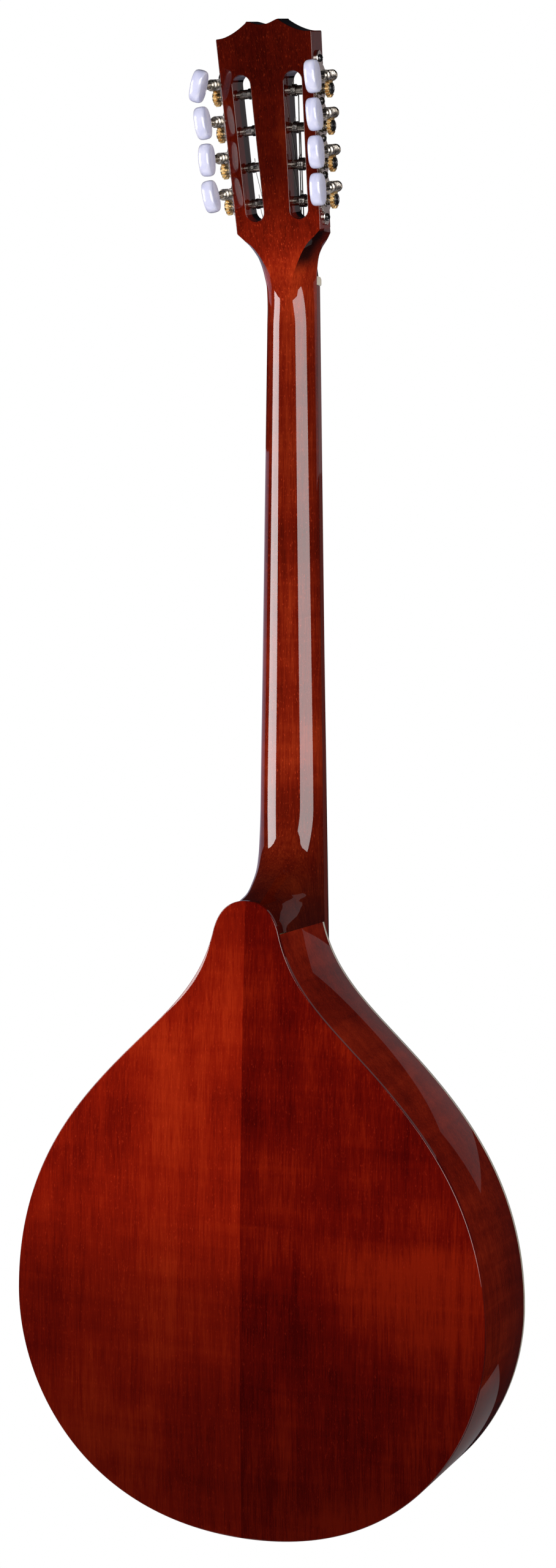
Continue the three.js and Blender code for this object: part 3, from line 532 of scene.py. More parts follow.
BRIGHT_NICKEL = metal("bright_nickel", (0.55, 0.52, 0.47), (0.80, 0.77, 0.72), 0.12, 0.25)
BRASS = metal("brass", (0.62, 0.36, 0.11), (1.0, 0.80, 0.44), 0.34, 0.50, 0.0002)
STEEL = wound_wire()

# ---------------------------------------------------------------- mesh helpers


def piece(name, shape, material, body=MAIN, replaces=(), at=None, sharp=32.0, weighted=False):
    """Turns a bmesh in millimetres into a named piece that rides on a body."""
    shape.transform(TO_FRAME @ at if at else TO_FRAME)
    bmesh.ops.remove_doubles(shape, verts=shape.verts, dist=2e-6)
    bmesh.ops.dissolve_degenerate(shape, edges=shape.edges, dist=1e-6)
    bmesh.ops.recalc_face_normals(shape, faces=shape.faces)
    mesh = bpy.data.meshes.new(name)
    shape.to_mesh(mesh)
    shape.free()
    mesh.polygons.foreach_set("use_smooth", [True] * len(mesh.polygons))
    mesh.set_sharp_from_angle(angle=math.radians(sharp))
    mesh.materials.append(material)
    thing = bpy.data.objects.new(name, mesh)
    bpy.context.scene.collection.objects.link(thing)
    if weighted:
        thing.modifiers.new("even_faces", "WEIGHTED_NORMAL").keep_sharp = True
    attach(thing, body)
    if replaces:
        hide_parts(*replaces)
    return thing


def skin(rings, closed=True, capped=True, shape=None):
    """A surface over rings of points, all with the same number of points."""
    shape = shape or bmesh.new()
    grid = [[shape.verts.new(point) for point in ring] for ring in rings]
    count = len(rings[0])
    for near, far in zip(grid, grid[1:]):
        for i in range(count if closed else count - 1):
            j = (i + 1) % count
            shape.faces.new((near[i], near[j], far[j], far[i]))
    if capped:
        shape.faces.new(grid[0][::-1])
        shape.faces.new(grid[-1])
    return shape


def circle(steps):
    """Evenly spread angles of one whole turn."""
    return [2 * math.pi * i / steps for i in range(steps)]


def turned(profile, steps, shape=None, axis="X"):
    """A turned solid: profile is (radius, place along the axis) from one end to the other."""
    rings = []
    for radius, along in profile:
        ring = []
        for angle in circle(steps):
            a, b = radius * math.cos(angle), radius * math.sin(angle)
            ring.append((along, a, b) if axis == "X" else (a, along, b))
        rings.append(ring)
    return skin(rings, shape=shape)


def flat_cap(shape, loops, points_of):
    """Fills flat loops of 2-D points, the first one outer and the others holes."""
    flat = [[Vector((x, z, 0)) for x, z in loop] for loop in loops]
    every = [point for loop in flat for point in loop]
    verts = [shape.verts.new(points_of(point.x, point.y)) for point in every]
    for a, b, c in tessellate_polygon(flat):
        shape.faces.new((verts[a], verts[b], verts[c]))


def curve(start, start_handle, end, end_handle, steps):
    """A cubic curve given its ends and the handles that lead out of them."""
    a, d = Vector(start), Vector(end)
    b, c = a + Vector(start_handle), d - Vector(end_handle)
    points = []
    for i in range(steps + 1):
        t = i / steps
        s = 1 - t
        points.append(a * s ** 3 + b * 3 * s * s * t + c * 3 * s * t * t + d * t ** 3)
    return points


def monotone(keys, values, at):
    """Smooth interpolation of a table that never overshoots its values."""
    spans = [b - a for a, b in zip(keys, keys[1:])]
    slopes = [(b - a) / span for a, b, span in zip(values, values[1:], spans)]
    tangents = [slopes[0]]
    for left, right in zip(slopes, slopes[1:]):
        tangents.append(0.0 if left * right <= 0 else 2 * left * right / (left + right))
    tangents.append(slopes[-1])
    i = 0
    while i < len(spans) - 1 and at > keys[i + 1]:
        i += 1
    t = (at - keys[i]) / spans[i]
    rise = tangents[i] * spans[i] * (t ** 3 - 2 * t * t + t) + tangents[i + 1] * spans[i] * (t ** 3 - t * t)
    return mix(values[i], values[i + 1], t * t * (3 - 2 * t)) + rise


# ---------------------------------------------------------------- body

def leaning(angle, length):
    return (-math.sin(angle) * length, math.cos(angle) * length)


def outline_half(fine):
    """Half the body's outline, from the tail up to the joint, and the tongue's half beyond it."""
    joint = (JOINT_HALF_WIDTH, JOINT_HEIGHT)
    run = curve((0, 0), (114, 0), WIDEST, (0, 67.5), 3 * fine)
    run += curve(WIDEST, (0, 73.5), SHOULDER, leaning(SHOULDER_LEAN, 46.5), 2 * fine)[1:]
    run += curve(SHOULDER, leaning(SHOULDER_LEAN, 48.5), joint, leaning(JOINT_LEAN, 41), 2 * fine)[1:]
    tongue = curve(joint, leaning(JOINT_LEAN, 14.3), (0, BODY_LENGTH), (-11.7, 0), 2 * fine)
    return run, tongue[1:]


SIDE_RUN, TONGUE_RUN = outline_half(22)


def inward(run):
    """Unit vectors that point into the body from each point of a run."""
    ways = []
    for i in range(len(run)):
        along = run[min(i + 1, len(run) - 1)] - run[max(i - 1, 0)]
        along.normalize()
        ways.append(Vector((-along.y, along.x)))
    ways[0] = Vector((0, 1))
    return ways


def edge_depth(height):
    u = height / BODY_LENGTH
    tail, middle, button = EDGE_DEPTHS
    return tail * (1 - u) * (1 - 2 * u) + middle * 4 * u * (1 - u) + button * u * (2 * u - 1)


def back_depth(share, height):
    u = height / BODY_LENGTH
    return edge_depth(height) + BACK_DOME * 4 * u * (1 - u) * (1 - share * share)


def back_half(side):
    run = SIDE_RUN + TONGUE_RUN
    ways = inward(run)
    ways[-1] = Vector((0, -1))
    across, corner = 14, 5
    rings = []
    for point, way in zip(run, ways):
        ring = []
        for i in range(across):
            inner = point + way * BACK_EDGE_ROUND
            share = i / (across - 1)
            x = max(inner.x, 0) * share
            ring.append((side * x, back_depth(x / max(point.x, 1), inner.y), inner.y))
        for i in range(1, corner + 1):
            angle = math.pi / 2 * i / corner
            spot = point + way * BACK_EDGE_ROUND * (1 - math.sin(angle))
            drop = BACK_EDGE_ROUND * (1 - math.cos(angle))
            ring.append((side * max(spot.x, 0), edge_depth(point.y) - drop, spot.y))
        ring.append((side * point.x, edge_depth(point.y) - BACK_THICKNESS, point.y))
        ring.append((0, edge_depth(point.y) - BACK_THICKNESS, mix(point.y, point.y + way.y * 2, 0.5)))
        rings.append(ring)
    return skin(rings)


def rim_half(side):
    rings = []
    for point, way in zip(SIDE_RUN, inward(SIDE_RUN)):
        inner = point + way * RIM_THICKNESS
        far = edge_depth(point.y) - BACK_THICKNESS
        groove = 0.25
        lip = point + way * groove
        rings.append([
            (side * max(point.x, 0), BINDING_DEPTH, point.y),
            (side * max(point.x, 0), far - groove, point.y),
            (side * max(lip.x, 0), far, lip.y),
            (side * max(inner.x, 0), far, inner.y),
            (side * max(inner.x, 0), BINDING_DEPTH, inner.y),
        ])
    return skin(rings)


def around(distance):
    """The whole outline moved inwards, from the treble side of the joint round the tail to the bass side."""
    half = [point + way * distance for point, way in zip(SIDE_RUN, inward(SIDE_RUN))]
    half[0].x = 0
    return half[::-1] + [Vector((-point.x, point.y)) for point in half[1:]]


def binding():
    outer, inner = around(0), around(BINDING_WIDTH)
    soft = around(0.5)
    rings = []
    for a, b, c in zip(outer, soft, inner):
        rings.append([(a.x, BINDING_DEPTH, a.y), (a.x, 0.5, a.y), (b.x, 0, b.y), (c.x, 0, c.y),
                      (c.x, BINDING_DEPTH, c.y)])
    return skin(rings)


def soundboard():
    outer = [(point.x, point.y) for point in around(BINDING_WIDTH)]
    half_width, half_length, height = SOUNDHOLE
    shape = bmesh.new()

    def hole(grow):
        return [(math.cos(a) * (half_width + grow), height + math.sin(a) * (half_length + grow))
                for a in circle(96)]

    round_over = 0.4
    levels = ((round_over, 0.0), (0.0, round_over), (0.0, TOP_THICKNESS))
    wall = list(zip(*[[(x, y, z) for x, z in hole(grow)] for grow, y in levels]))
    skin(wall + wall[:1], closed=False, capped=False, shape=shape)
    for grow, y in (levels[0], levels[-1]):
        flat_cap(shape, [outer, hole(grow)], lambda x, z, y=y: (x, y, z))
    edge = [((x, 0, z), (x, TOP_THICKNESS, z)) for x, z in outer + outer[:1]]
    skin(edge, closed=False, capped=False, shape=shape)
    return shape


for side, name in SIDES.items():
    wood = MAPLE_LEFT if side > 0 else MAPLE_RIGHT
    piece(f"back_plate_{name}", back_half(side), wood, replaces=[f"back_{name}"], sharp=50,
          weighted=True)
    piece(f"rim_side_{name}", rim_half(side), MAPLE_RIM, replaces=[f"rim_{name}"], sharp=50)
piece("edge_binding", binding(), BONE, replaces=["top_binding"], sharp=50)
piece("top_plate", soundboard(), TOP, replaces=["soundboard"])

# ---------------------------------------------------------------- neck and headstock


def neck_half_width(height):
    return (NUT_WIDTH + NECK_WIDENING * (NUT_HEIGHT - height)) / 2


def tongue_half_width(share):
    """Half the body's width at a share of the tongue's length."""
    height = JOINT_HEIGHT + BUTTON_LENGTH * share
    for a, b in zip(TONGUE_RUN, TONGUE_RUN[1:]):
        if a.y <= height <= b.y:
            return mix(a.x, b.x, (height - a.y) / max(b.y - a.y, 1e-6))
    return 0.0


HEEL_DEPTH = edge_depth(JOINT_HEIGHT) - BACK_THICKNESS
NECK_POINTS = 26        # down each side of a section
SHAFT_SQUARENESS = 2.3
SHAFT_TOP = 26          # how far below the nut the shaft starts to turn into the headstock


def arc_column(front, back, half_front, half_back, flat, power):
    """One side of a cross-section: from the front corner round to the corner of the flat back.

    front and back are the places of the section's centre line at the face and at full depth."""
    depth_share = (1 - flat ** power) ** (1 / power)
    last = math.acos(min(1.0, flat ** (power / 2)))
    points = []
    for i in range(NECK_POINTS):
        angle = last * i / (NECK_POINTS - 1)
        deep = math.sin(angle) ** (2 / power) / depth_share
        across = math.cos(angle) ** (2 / power) * mix(half_front, half_back, deep)
        centre = front.lerp(back, deep)
        points.append(Vector((across, centre.y, centre.z)))
    return points


# height above the joint, depth, half width at the back, flat share, squareness
HEEL = [
    (0.0, HEEL_DEPTH, JOINT_HALF_WIDTH, 0.30, 7.0),
    (BUTTON_LENGTH * 0.3, HEEL_DEPTH, tongue_half_width(0.3), 0.30, 6.0),
    (BUTTON_LENGTH * 0.6, HEEL_DEPTH * 0.99, tongue_half_width(0.6), 0.25, 4.6),
    (BUTTON_LENGTH * 0.82, HEEL_DEPTH * 0.95, 15.0, 0.20, 3.6),
    (BUTTON_LENGTH, HEEL_DEPTH * 0.80, 15.0, 0.14, 3.0),
    (27.0, HEEL_DEPTH * 0.60, 17.4, 0.09, 2.6),
    (36.0, HEEL_DEPTH * 0.39, 20.0, 0.05, 2.4),
    (50.0, 19.6, 21.6, 0.02, SHAFT_SQUARENESS),
    (76.0, 14.6, 22.0, 0.002, SHAFT_SQUARENESS),
]
# the throat, in the headstock's frame: half width and height at the front, half width and height of the
# flat at the back, squareness
THROAT = [
    (16.9, 2.0, 5.8, 2.0, 2.1),
    (17.4, 6.4, 7.3, 6.6, 2.15),
    (18.2, 12.0, 9.8, 12.6, 2.2),
    (19.8, 18.6, 13.4, 19.5, 2.3),
    (22.5, 23.8, 16.9, 24.9, 2.5),
    (24.9, 26.8, 20.8, 29.3, 2.8),
    (27.0, 29.6, 24.2, 31.9, 3.0),
    (29.0, 32.9, 28.5, 35.8, 3.0),
]


def neck_keys():
    """Numbers of each key section, up the neck: half widths at the front and the back, flat share and
    squareness, then y and z of the centre line at the front and at the back."""
    keys = []
    for rise, depth, half_back, flat, power in HEEL:
        z = JOINT_HEIGHT + rise
        keys.append((neck_half_width(z), half_back, flat, power, 0, z, depth, z))
    shaft_foot = HEEL[-1][0]
    for share in (0.3, 0.6, 1.0):
        z = mix(JOINT_HEIGHT + shaft_foot, NUT_HEIGHT - SHAFT_TOP, share)
        half = neck_half_width(z)
        depth = mix(NECK_DEPTH_AT_HEEL, NECK_DEPTH_AT_NUT, share)
        keys.append((half, half, 0.0, SHAFT_SQUARENESS, 0, z, depth, z))
    for rise, flat in ((-13.0, 0.06), (-6.0, 0.2)):
        half = neck_half_width(NUT_HEIGHT + rise)
        depth = rise * math.tan(HEAD_TILT) + HEAD_THICKNESS / math.cos(HEAD_TILT)
        keys.append((half, half, flat, 2.15, 0, NUT_HEIGHT + rise, depth, NUT_HEIGHT + rise))
    for half_front, front_rise, half_flat, back_rise, power in THROAT:
        front = HEAD @ Vector((0, 0, front_rise))
        back = HEAD @ Vector((0, HEAD_THICKNESS, back_rise))
        keys.append((half_front, half_front, half_flat / half_front, power,
                     front.y, front.z, back.y, back.z))
    return keys


def neck_columns():
    keys = neck_keys()
    rank = [0.0]
    for a, b in zip(keys, keys[1:]):
        rank.append(rank[-1] + max(2.0, math.dist(a[4:], b[4:])))
    columns = []
    for start, end in zip(rank, rank[1:]):
        steps = max(3, min(10, round((end - start) / 3)))
        for i in range(steps):
            columns.append(mix(start, end, i / steps))
    columns.append(rank[-1])
    rows = []
    for at in columns:
        numbers = [monotone(rank, [key[n] for key in keys], at) for n in range(8)]
        half_front, half_back, flat, power, front_y, front_z, back_y, back_z = numbers
        front, back = Vector((0, front_y, front_z)), Vector((0, back_y, back_z))
        rows.append(arc_column(front, back, half_front, half_back, max(flat, 0.0), power))
    return rows


def head_edge():
    """Half the headstock's outline and its inward directions, from the shoulder to the crest's middle."""
    top = head_half_width(HEAD_SIDE_TOP)
    summit = HEAD_SIDE_TOP + CREST_HEIGHT
    heights = [SHOULDER_TOP + 1.0, SHOULDER_TOP + 3.0]
    heights += [mix(SHOULDER_TOP + 4.5, HEAD_SIDE_TOP - 0.8, i / 8) for i in range(9)]
    points = [Vector((head_half_width(height), height)) for height in heights]
    points.append(Vector((top - 0.25, HEAD_SIDE_TOP - 0.15)))
    points.append(Vector((top - 0.8, HEAD_SIDE_TOP)))
    cove = curve((top - 1.6, HEAD_SIDE_TOP), (-5.5, 0), (CREST_HORN + 0.7, summit - 0.9), (-6.6, 4.9), 12)
    dip = curve((CREST_HORN - 0.9, summit - 0.1), (-3.5, -0.9), (0, summit - CREST_DIP), (-4.5, 0), 8)
    points += cove + [Vector((CREST_HORN, summit))] + dip
    points[-1].x = 0.0
    ways = inward(points)
    ways[0] = Vector((-1, 0))
    ways[-1] = Vector((0, -1))
    return points, ways


def edge_column(point, way):
    """The wall of the headstock at one place of an outline, rounded at both faces."""
    turns = 8
    angles = [math.pi / 2 * i / turns for i in range(turns + 1)]
    levels = [(EDGE_ROUND * (1 - math.sin(angle)), EDGE_ROUND * (1 - math.cos(angle))) for angle in angles]
    middle = NECK_POINTS - 2 * len(levels)
    column = list(levels)
    for i in range(middle):
        column.append((0.0, mix(EDGE_ROUND, HEAD_THICKNESS - EDGE_ROUND, (i + 1) / (middle + 1))))
    column += [(inset, HEAD_THICKNESS - depth) for inset, depth in levels[::-1]]
    spots = [(point + way * inset, depth) for inset, depth in column]
    return [HEAD @ Vector((spot.x, depth, spot.y)) for spot, depth in spots]


def slot_loop(side):
    """A slot's outline with directions into the wood, in the headstock's frame."""
    centre = head_half_width(0) - (SLOT_INSET + SLOT_WIDTH / 2) / math.cos(HEAD_FLARE)
    radius = SLOT_WIDTH / 2
    low, high = SLOT_BOTTOM + radius, SLOT_TOP - radius
    points, ways = [], []
    half_turn = 24
    for start, middle in ((0.0, high), (math.pi, low)):
        for i in range(half_turn + 1):
            angle = start + math.pi * i / half_turn
            way = Vector((math.cos(angle), math.sin(angle)))
            spot = way * radius + Vector((0, middle))
            points.append(Vector((side * (centre + spot.y * math.sin(HEAD_FLARE)) + spot.x, spot.y)))
            ways.append(way)
    return points, ways


def neck_shape():
    shape = bmesh.new()
    shaft = neck_columns()
    edge, ways = head_edge()
    head = [edge_column(point, way) for point, way in zip(edge, ways)]
    columns = shaft + head
    mirror = [[Vector((-p.x, p.y, p.z)) for p in column] for column in columns]
    skin(columns, closed=False, capped=False, shape=shape)
    skin(mirror, closed=False, capped=False, shape=shape)
    for index in (0, -1):
        rim = [[column[index], other[index]] for column, other in zip(shaft, mirror)]
        skin(rim, closed=False, capped=False, shape=shape)
    shape.faces.new([shape.verts.new(p) for p in columns[0] + mirror[0][::-1]])
    flats = HEAD.inverted()
    walls = []
    for side in SIDES:
        points, outs = slot_loop(side)
        wall = [edge_column(point, out) for point, out in zip(points, outs)]
        walls.append(wall)
        skin(wall + wall[:1], closed=False, capped=False, shape=shape)
    for index, depth in ((0, 0.0), (-1, HEAD_THICKNESS)):
        right = [flats @ column[index] for column in shaft[-1:] + head]
        outer = [(p.x, p.z) for p in right] + [(-p.x, p.z) for p in right[::-1][1:]]
        holes = [[(q.x, q.z) for q in (flats @ column[index] for column in wall)] for wall in walls]
        flat_cap(shape, [outer] + holes, lambda x, z, depth=depth: HEAD @ Vector((x, depth, z)))
    return shape


piece("neck_and_headstock", neck_shape(), MAPLE_NECK, replaces=["neck"], sharp=13,
      weighted=True)

# ---------------------------------------------------------------- fingerboard details


def fret_height(number):
    return NUT_HEIGHT - SCALE_LENGTH * (1 - 2 ** (-number / 12))


def frets():
    shape = bmesh.new()
    face = -GAP - BOARD_THICKNESS
    for number in range(1, FRETS + 1):
        z = fret_height(number)
        half = neck_half_width(z) - 0.3
        profile = [(face + 0.4, -1.1), (face, -1.1), (face - 0.7, -0.8), (face - 1.0, 0), (face - 0.7, 0.8),
                   (face, 1.1), (face + 0.4, 1.1)]
        rings = []
        for x in (-half, -half + 0.7, half - 0.7, half):
            squeeze = 0.55 if abs(x) == half else 1.0
            rings.append([(x, face + (y - face) * squeeze if y < face else y, z + dz) for y, dz in profile])
        skin(rings, shape=shape)
    return shape


def markers():
    shape = bmesh.new()
    face = -GAP - BOARD_THICKNESS
    for number in (3, 5, 7, 10, 12, 15, 17):
        z = (fret_height(number) + fret_height(number - 1)) / 2
        for x in ((-7, 7) if number == 12 else (0,)):
            disc = [(0.0001, face - 0.06), (2.6, face - 0.06), (2.8, face + 0.1), (2.8, face + 0.5),
                    (0.0001, face + 0.5)]
            dot = turned(disc, 24, axis="Y")
            dot.transform(Matrix.Translation((x, 0, z)))
            join_into(shape, dot)
    return shape


def join_into(shape, other):
    """Copies one bmesh into another and frees it."""
    spare = bpy.data.meshes.new("spare")
    other.to_mesh(spare)
    other.free()
    shape.from_mesh(spare)
    bpy.data.meshes.remove(spare)


piece("fret_wires", frets(), BRIGHT_NICKEL)
piece("position_dots", markers(), PEARL)

# ---------------------------------------------------------------- tuning machines


def side_frame(side):
    return HEAD @ Matrix.Translation((side * head_half_width(0), HEAD_THICKNESS / 2, 0)) @ Matrix.Rotation(
        side * HEAD_FLARE, 4, "Y")


def post_height(i):
    return FIRST_POST + i * MACHINE_PITCH


def screw_heights():
    """Middles of the plate's screws: one in each end lobe and one between each pair of machines."""
    first, last = (post_height(i) + WORM_RISE / 2 for i in (0, MACHINES - 1))
    between = [first + (i + 0.5) * MACHINE_PITCH for i in range(MACHINES - 1)]
    return [first - PLATE_REACH] + between + [last + PLATE_REACH]


def plate_half_width(v):
    """Half the scalloped plate's width: narrow at screws, wide at machines, with a lobe at both ends."""
    low, *between, high = screw_heights()
    half = PLATE_WIDTH / 2
    for height in between:
        half -= SCALLOP_DEPTH * math.exp(-((v - height) / SCALLOP_SPREAD) ** 2)
    waist, waist_rise = 3.0, 3.2
    rise = min(v - low, high - v)
    body = waist + (half - waist) * max(0.0, min(1.0, (rise - waist_rise) / 3.6)) ** 0.6
    if rise < waist_rise:
        body = 0.0
    lobe = math.sqrt(max(0.0, PLATE_LOBE ** 2 - rise ** 2)) * 0.86
    return max(body, lobe, 0.2)


def tuner_plate(side):
    shape = bmesh.new()
    low, high = screw_heights()[0] - PLATE_LOBE, screw_heights()[-1] + PLATE_LOBE
    steps = 150
    face, foot, soft = GAP + PLATE_THICKNESS, 0.0, 0.35
    rings = []
    for i in range(steps + 1):
        v = mix(low, high, i / steps)
        half = plate_half_width(v)
        inner = max(half - soft, 0.05)
        section = ((foot, -half), (face - soft, -half), (face, -inner), (face, inner), (face - soft, half),
                   (foot, half))
        rings.append([(side * x, y, v) for x, y in section])
    skin(rings, shape=shape)
    for i in range(MACHINES):
        v = post_height(i) + WORM_RISE
        for end in (-1, 1):
            near = end * (WORM_LENGTH / 2 + GAP)
            far = near + end * LUG_THICKNESS
            foot_half = LUG_RADIUS - 0.2
            outline = [(face - 0.6, v - foot_half), (WORM_OFFSET, v - LUG_RADIUS)]
            for k in range(13):
                angle = -math.pi / 2 + math.pi * k / 12
                reach, rise = LUG_RADIUS * math.cos(angle), LUG_RADIUS * math.sin(angle)
                outline.append((WORM_OFFSET + reach, v + rise))
            outline += [(face - 0.6, v + foot_half)]
            skin([[(side * x, y, z) for x, z in outline] for y in (near, far)], shape=shape)
        collar = turned([(POST_RADIUS + 0.5, 0.4), (POST_RADIUS + 1.2, face + 0.2),
                         (POST_RADIUS + 0.9, face + 0.7), (2.4, face + 0.8)], 28)
        collar.transform(Matrix.Translation((0, 0, post_height(i))) @ mirror(side))
        join_into(shape, collar)
    return shape


def screw_head(radius=2.5, height=2.1):
    """A domed head with a straight slot, facing +x."""
    rings = []
    around_steps, rows = 36, 9
    for row in range(rows + 1):
        share = row / rows
        ring = []
        for angle in circle(around_steps):
            reach = radius * math.cos(share * math.pi / 2)
            y, z = reach * math.cos(angle), reach * math.sin(angle)
            x = height * math.sin(share * math.pi / 2)
            if abs(y) < 0.36 and share > 0.35:
                x = min(x, height * 0.45)
            ring.append((x, y, z))
        rings.append(ring)
    foot = [(-1.0, radius * math.cos(angle), radius * math.sin(angle)) for angle in circle(around_steps)]
    rings.insert(0, foot)
    return skin(rings)


def plate_screws(side):
    shape = bmesh.new()
    for i, height in enumerate(screw_heights()):
        head = screw_head()
        turn = Matrix.Rotation(0.7 + 1.1 * i, 4, "X")
        seat = Matrix.Translation((side * (GAP + PLATE_THICKNESS - 0.1), 0, height))
        head.transform(seat @ mirror(side) @ turn)
        join_into(shape, head)
    return shape


def worm_shape():
    """The barrel, threaded right-handed about y with a crest facing -z at y = 0, its shaft and ferrules."""
    shape = bmesh.new()
    steps, around_steps = 72, 28
    rings = []
    for step in range(steps + 1):
        y = mix(-WORM_LENGTH / 2, WORM_LENGTH / 2, step / steps)
        ring = []
        for angle in circle(around_steps):
            wave = 0.5 + 0.5 * math.cos(angle - 2 * math.pi * y / TOOTH_PITCH)
            radius = mix(WORM_ROOT, WORM_CREST, ease((wave - 0.22) / 0.5))
            ring.append((-radius * math.sin(angle), y, -radius * math.cos(angle)))
        rings.append(ring)
    skin(rings, shape=shape)
    inner_end = BUTTON_CENTRE - BUTTON_SIZE[1] / 2 + 1
    lug_end = WORM_LENGTH / 2 + GAP + LUG_THICKNESS + GAP
    profile = [(0.001, -8.0), (1.1, -8.0), (1.9, -7.6), (2.6, -7.0), (2.6, -lug_end),
               (SHAFT_RADIUS, -lug_end), (SHAFT_RADIUS, lug_end), (3.5, lug_end), (3.7, lug_end + 0.4),
               (3.7, lug_end + 1.2),
               (2.7, lug_end + 1.6), (2.4, lug_end + 3.0), (2.9, lug_end + 3.4), (2.9, lug_end + 4.4),
               (2.1, lug_end + 5.0), (1.7, lug_end + 8.0), (1.6, inner_end - 3.4), (2.4, inner_end - 2.6),
               (2.8, inner_end - 1.2), (2.8, inner_end), (0.001, inner_end)]
    turned(profile, 28, shape=shape, axis="Y")
    return shape


def gear_shape():
    """Toothed wheel about x with a gap between two teeth facing +z; the teeth lean with the thread."""
    lead = TOOTH_PITCH / (2 * math.pi * WORM_PITCH_RADIUS)
    tip, root = GEAR_RADIUS + 0.5, GEAR_RADIUS - 0.98
    around_steps = GEAR_TEETH * 10
    rings = []
    for x, shrink in ((-1.0, 0.3), (-0.8, 0.0), (0.0, 0.0), (0.8, 0.0), (1.0, 0.3)):
        x *= GEAR_THICKNESS / 2
        ring = []
        for angle in circle(around_steps):
            wave = 0.5 - 0.5 * math.cos(GEAR_TEETH * angle)
            radius = mix(root, tip, ease((wave - 0.25) / 0.45)) - shrink
            turn = angle - lead * x / GEAR_RADIUS
            ring.append((x, radius * math.sin(turn), radius * math.cos(turn)))
        rings.append(ring)
    return skin(rings)


def gear_cap(side):
    """Dark domed screw head that holds the gear on its roller."""
    start = WORM_OFFSET + GEAR_THICKNESS / 2
    shape = turned([(3.5, start - 0.2), (3.6, start + 0.4), (3.4, start + 0.9), (2.9, start + 1.2),
                    (2.3, start + 1.3), (2.1, start + 0.9), (0.001, start + 0.8)], 36)
    shape.transform(mirror(side))
    screw = screw_head(1.9, 0.9)
    screw.transform(Matrix.Translation((side * (start + 0.75), 0, 0)) @ mirror(side))
    join_into(shape, screw)
    return shape


def roller_shape(side):
    """String roller with its collars, from the middle rib out to the gear."""
    inner = -(SLOT_INSET + SLOT_WIDTH + POST_SEAT)
    wall = -SLOT_INSET
    end = WORM_OFFSET - GEAR_THICKNESS / 2
    profile = [(0.001, inner), (POST_RADIUS, inner), (POST_RADIUS, wall - 2.6),
               (POST_RADIUS + 0.35, wall - 2.4), (POST_RADIUS + 0.35, wall - 1.6),
               (2.5, wall - 1.2), (2.5, wall + 0.5), (2.5, 2.4),
               (3.4, 2.7), (3.4, 3.4), (2.6, 3.8), (2.6, end), (0.001, end)]
    shape = turned(profile, 32)
    shape.transform(mirror(side))
    return shape


def roller_holes(side, turn):
    """Dark bushed eyes of the roller's two string holes, on both ends of each bore."""
    shape = bmesh.new()
    for across in (SLOT_INSET + SLOT_WIDTH * 0.6, SLOT_INSET + SLOT_WIDTH * 0.9):
        for facing in (0, math.pi):
            profile = [(0.001, -0.5), (0.75, -0.5), (0.8, 0.02), (1.0, -0.02), (1.1, -0.6), (0.001, -0.6)]
            eye = turned([(radius, POST_RADIUS + rise) for radius, rise in profile], 18, axis="Y")
            eye.transform(Matrix.Rotation(turn + facing, 4, "X"))
            eye.transform(Matrix.Translation((-side * across, 0, 0)))
            join_into(shape, eye)
    return shape


def winding(side, rank, radius):
    """String on a roller: a closed first turn where it lands, then a coil and its cut end."""
    turns, per_turn = 4.2, 26
    reach = POST_RADIUS + radius
    start = LANDINGS[rank] - head_half_width(post_height(rank))
    points = []
    for i in range(int(turns * per_turn) + 1):
        angle = -math.pi / 2 - 2 * math.pi * i / per_turn
        x = start - 2.05 * radius * max(0, i / per_turn - 1)
        points.append(Vector((side * x, reach * math.sin(angle), -reach * math.cos(angle))))
    last = points[-1]
    points.append(last + Vector((0, last.y, last.z)) * 0.25)
    points.append(last + Vector((side * 0.4, last.y * 0.9, last.z * 0.9)))
    return tube(points, radius)


def tube(points, radius, sides=10):
    """A round wire along points; its sides start from a direction that no part of the wire follows."""
    reference = Vector((0.31, 0.11, 0.94))
    rings = []
    for i, point in enumerate(points):
        along = (points[min(i + 1, len(points) - 1)] - points[max(i - 1, 0)]).normalized()
        across = along.cross(reference).normalized()
        up = along.cross(across)
        rings.append([point + (across * math.cos(a) + up * math.sin(a)) * radius for a in circle(sides)])
    return skin(rings)


def signed_power(value, power):
    return math.copysign(abs(value) ** power, value)


def button_shape(turn):
    """Pearly button: a rounded plate along y and z whose faces run into each other over a soft edge."""
    thick, depth, length = (size / 2 for size in BUTTON_SIZE)
    rows, around_steps = 20, 48
    rings = []
    for row in range(rows + 1):
        angle = -math.pi / 2 + math.pi * row / rows
        x = thick * signed_power(math.sin(angle), 0.72)
        shrink = abs(math.cos(angle)) ** 0.5
        tip = min(1, shrink * 3)
        ring = []
        for a in circle(around_steps):
            y = signed_power(math.cos(a), 0.8) * depth * mix(0.55, 1.0, shrink) * tip
            z = signed_power(math.sin(a), 0.86) * length * mix(0.72, 1.0, shrink) * tip
            ring.append((x, y, z))
        rings.append(ring)
    shape = skin(rings)
    shape.transform(Matrix.Rotation(math.radians(turn), 4, "Y") @ Matrix.Translation((0, BUTTON_CENTRE, 0)))
    return shape


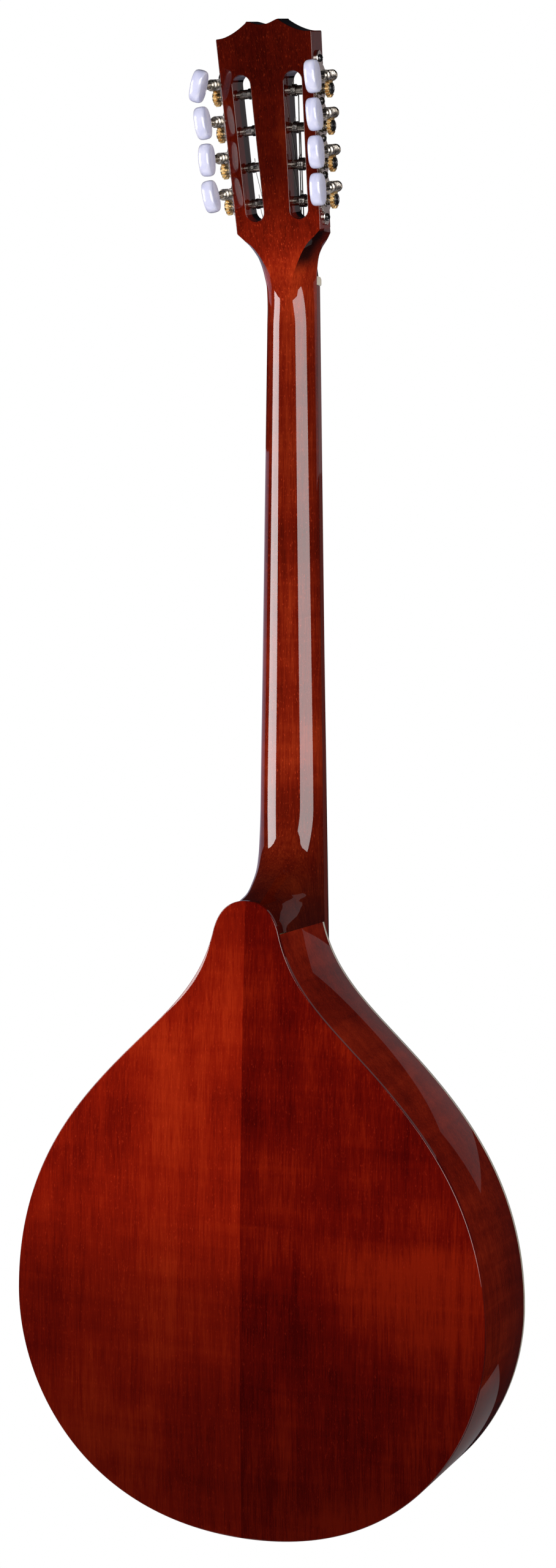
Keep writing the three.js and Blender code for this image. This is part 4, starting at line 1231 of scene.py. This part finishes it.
def machines(side, name):
    at = side_frame(side)
    piece(f"machine_plate_{name}", tuner_plate(side), BRIGHT_NICKEL,
          replaces=[f"tuner_plate_{name}"], at=at)
    piece(f"plate_screws_{name}", plate_screws(side), DARK_NICKEL, at=at)
    for i in range(MACHINES):
        label = f"{name}_{i + 1}"
        at_post = at @ Matrix.Translation((0, 0, post_height(i)))
        at_gear = at_post @ Matrix.Translation((side * WORM_OFFSET, 0, 0))
        at_worm = at_gear @ Matrix.Translation((0, 0, WORM_RISE))
        turning, roller = f"tuner_{label}", f"roller_{label}"
        piece(f"worm_screw_{label}", worm_shape(), NICKEL, turning, [f"worm_{label}"], at_worm)
        button = button_shape(BUTTON_TURNS[side][i])
        piece(f"tuner_button_{label}", button, PEARL, turning, [f"button_{label}"], at_worm,
              sharp=80)
        piece(f"gear_wheel_{label}", gear_shape(), BRASS, roller, [f"gear_{label}"], at_gear)
        piece(f"gear_cap_{label}", gear_cap(side), DARK_NICKEL, roller, at=at_post)
        barrel = roller_shape(side)
        piece(f"string_roller_{label}", barrel, NICKEL, roller, [f"post_{label}"], at_post)
        eyes = roller_holes(side, 0.5 + 0.4 * i)
        piece(f"roller_eyes_{label}", eyes, NICKEL, roller, at=at_post)
        wire = winding(side, i, STRING_DIAMETERS[COURSES[side][i]] / 2)
        piece(f"string_turns_{label}", wire, STEEL, roller, at=at_post)


for side, name in SIDES.items():
    machines(side, name)

# ---------------------------------------------------------------- carried-over nodes

CARRIED = {
    "fingerboard": BOARD, "bridge": HARDWOOD, "nut": BONE, "tailpiece": BRIGHT_NICKEL,
    "top_lining": INNER, "back_lining": INNER, "neck_block": INNER, "tail_block": INNER,
    "top_brace": INNER, "back_brace_lower": INNER, "back_brace_upper": INNER,
}
CARRIED.update({f"string_{i + 1}": STEEL for i in range(2 * MACHINES)})
for node, finish in CARRIED.items():
    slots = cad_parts[node].material_slots
    for slot in slots:
        slot.material = finish

# ---------------------------------------------------------------- floor

FLOOR_DROP = 0.55   # the instrument hangs this far above the floor, metres
FLOOR_REACH = 1.1
FLOOR_CURL = 0.02   # the sheet's edges dip by this much


def floor_shape():
    """A pale sheet laid below the instrument."""
    level = cad_box[0][2] - FLOOR_DROP
    steps = 24
    rings = []
    for i in range(steps + 1):
        x = mix(-FLOOR_REACH, FLOOR_REACH, i / steps)
        ring = []
        for j in range(steps + 1):
            y = mix(-FLOOR_REACH, FLOOR_REACH, j / steps)
            dip = FLOOR_CURL * max(abs(x), abs(y)) ** 8 / FLOOR_REACH ** 8
            ring.append((x, y, level - dip))
        rings.append(ring)
    return skin(rings, closed=False, capped=False)


floor_mesh = bpy.data.meshes.new("floor")
floor_bm = floor_shape()
floor_bm.to_mesh(floor_mesh)
floor_bm.free()
floor_mesh.polygons.foreach_set("use_smooth", [True] * len(floor_mesh.polygons))
floor_mesh.materials.append(studio_floor())
floor = bpy.data.objects.new("floor", floor_mesh)
bpy.context.scene.collection.objects.link(floor)
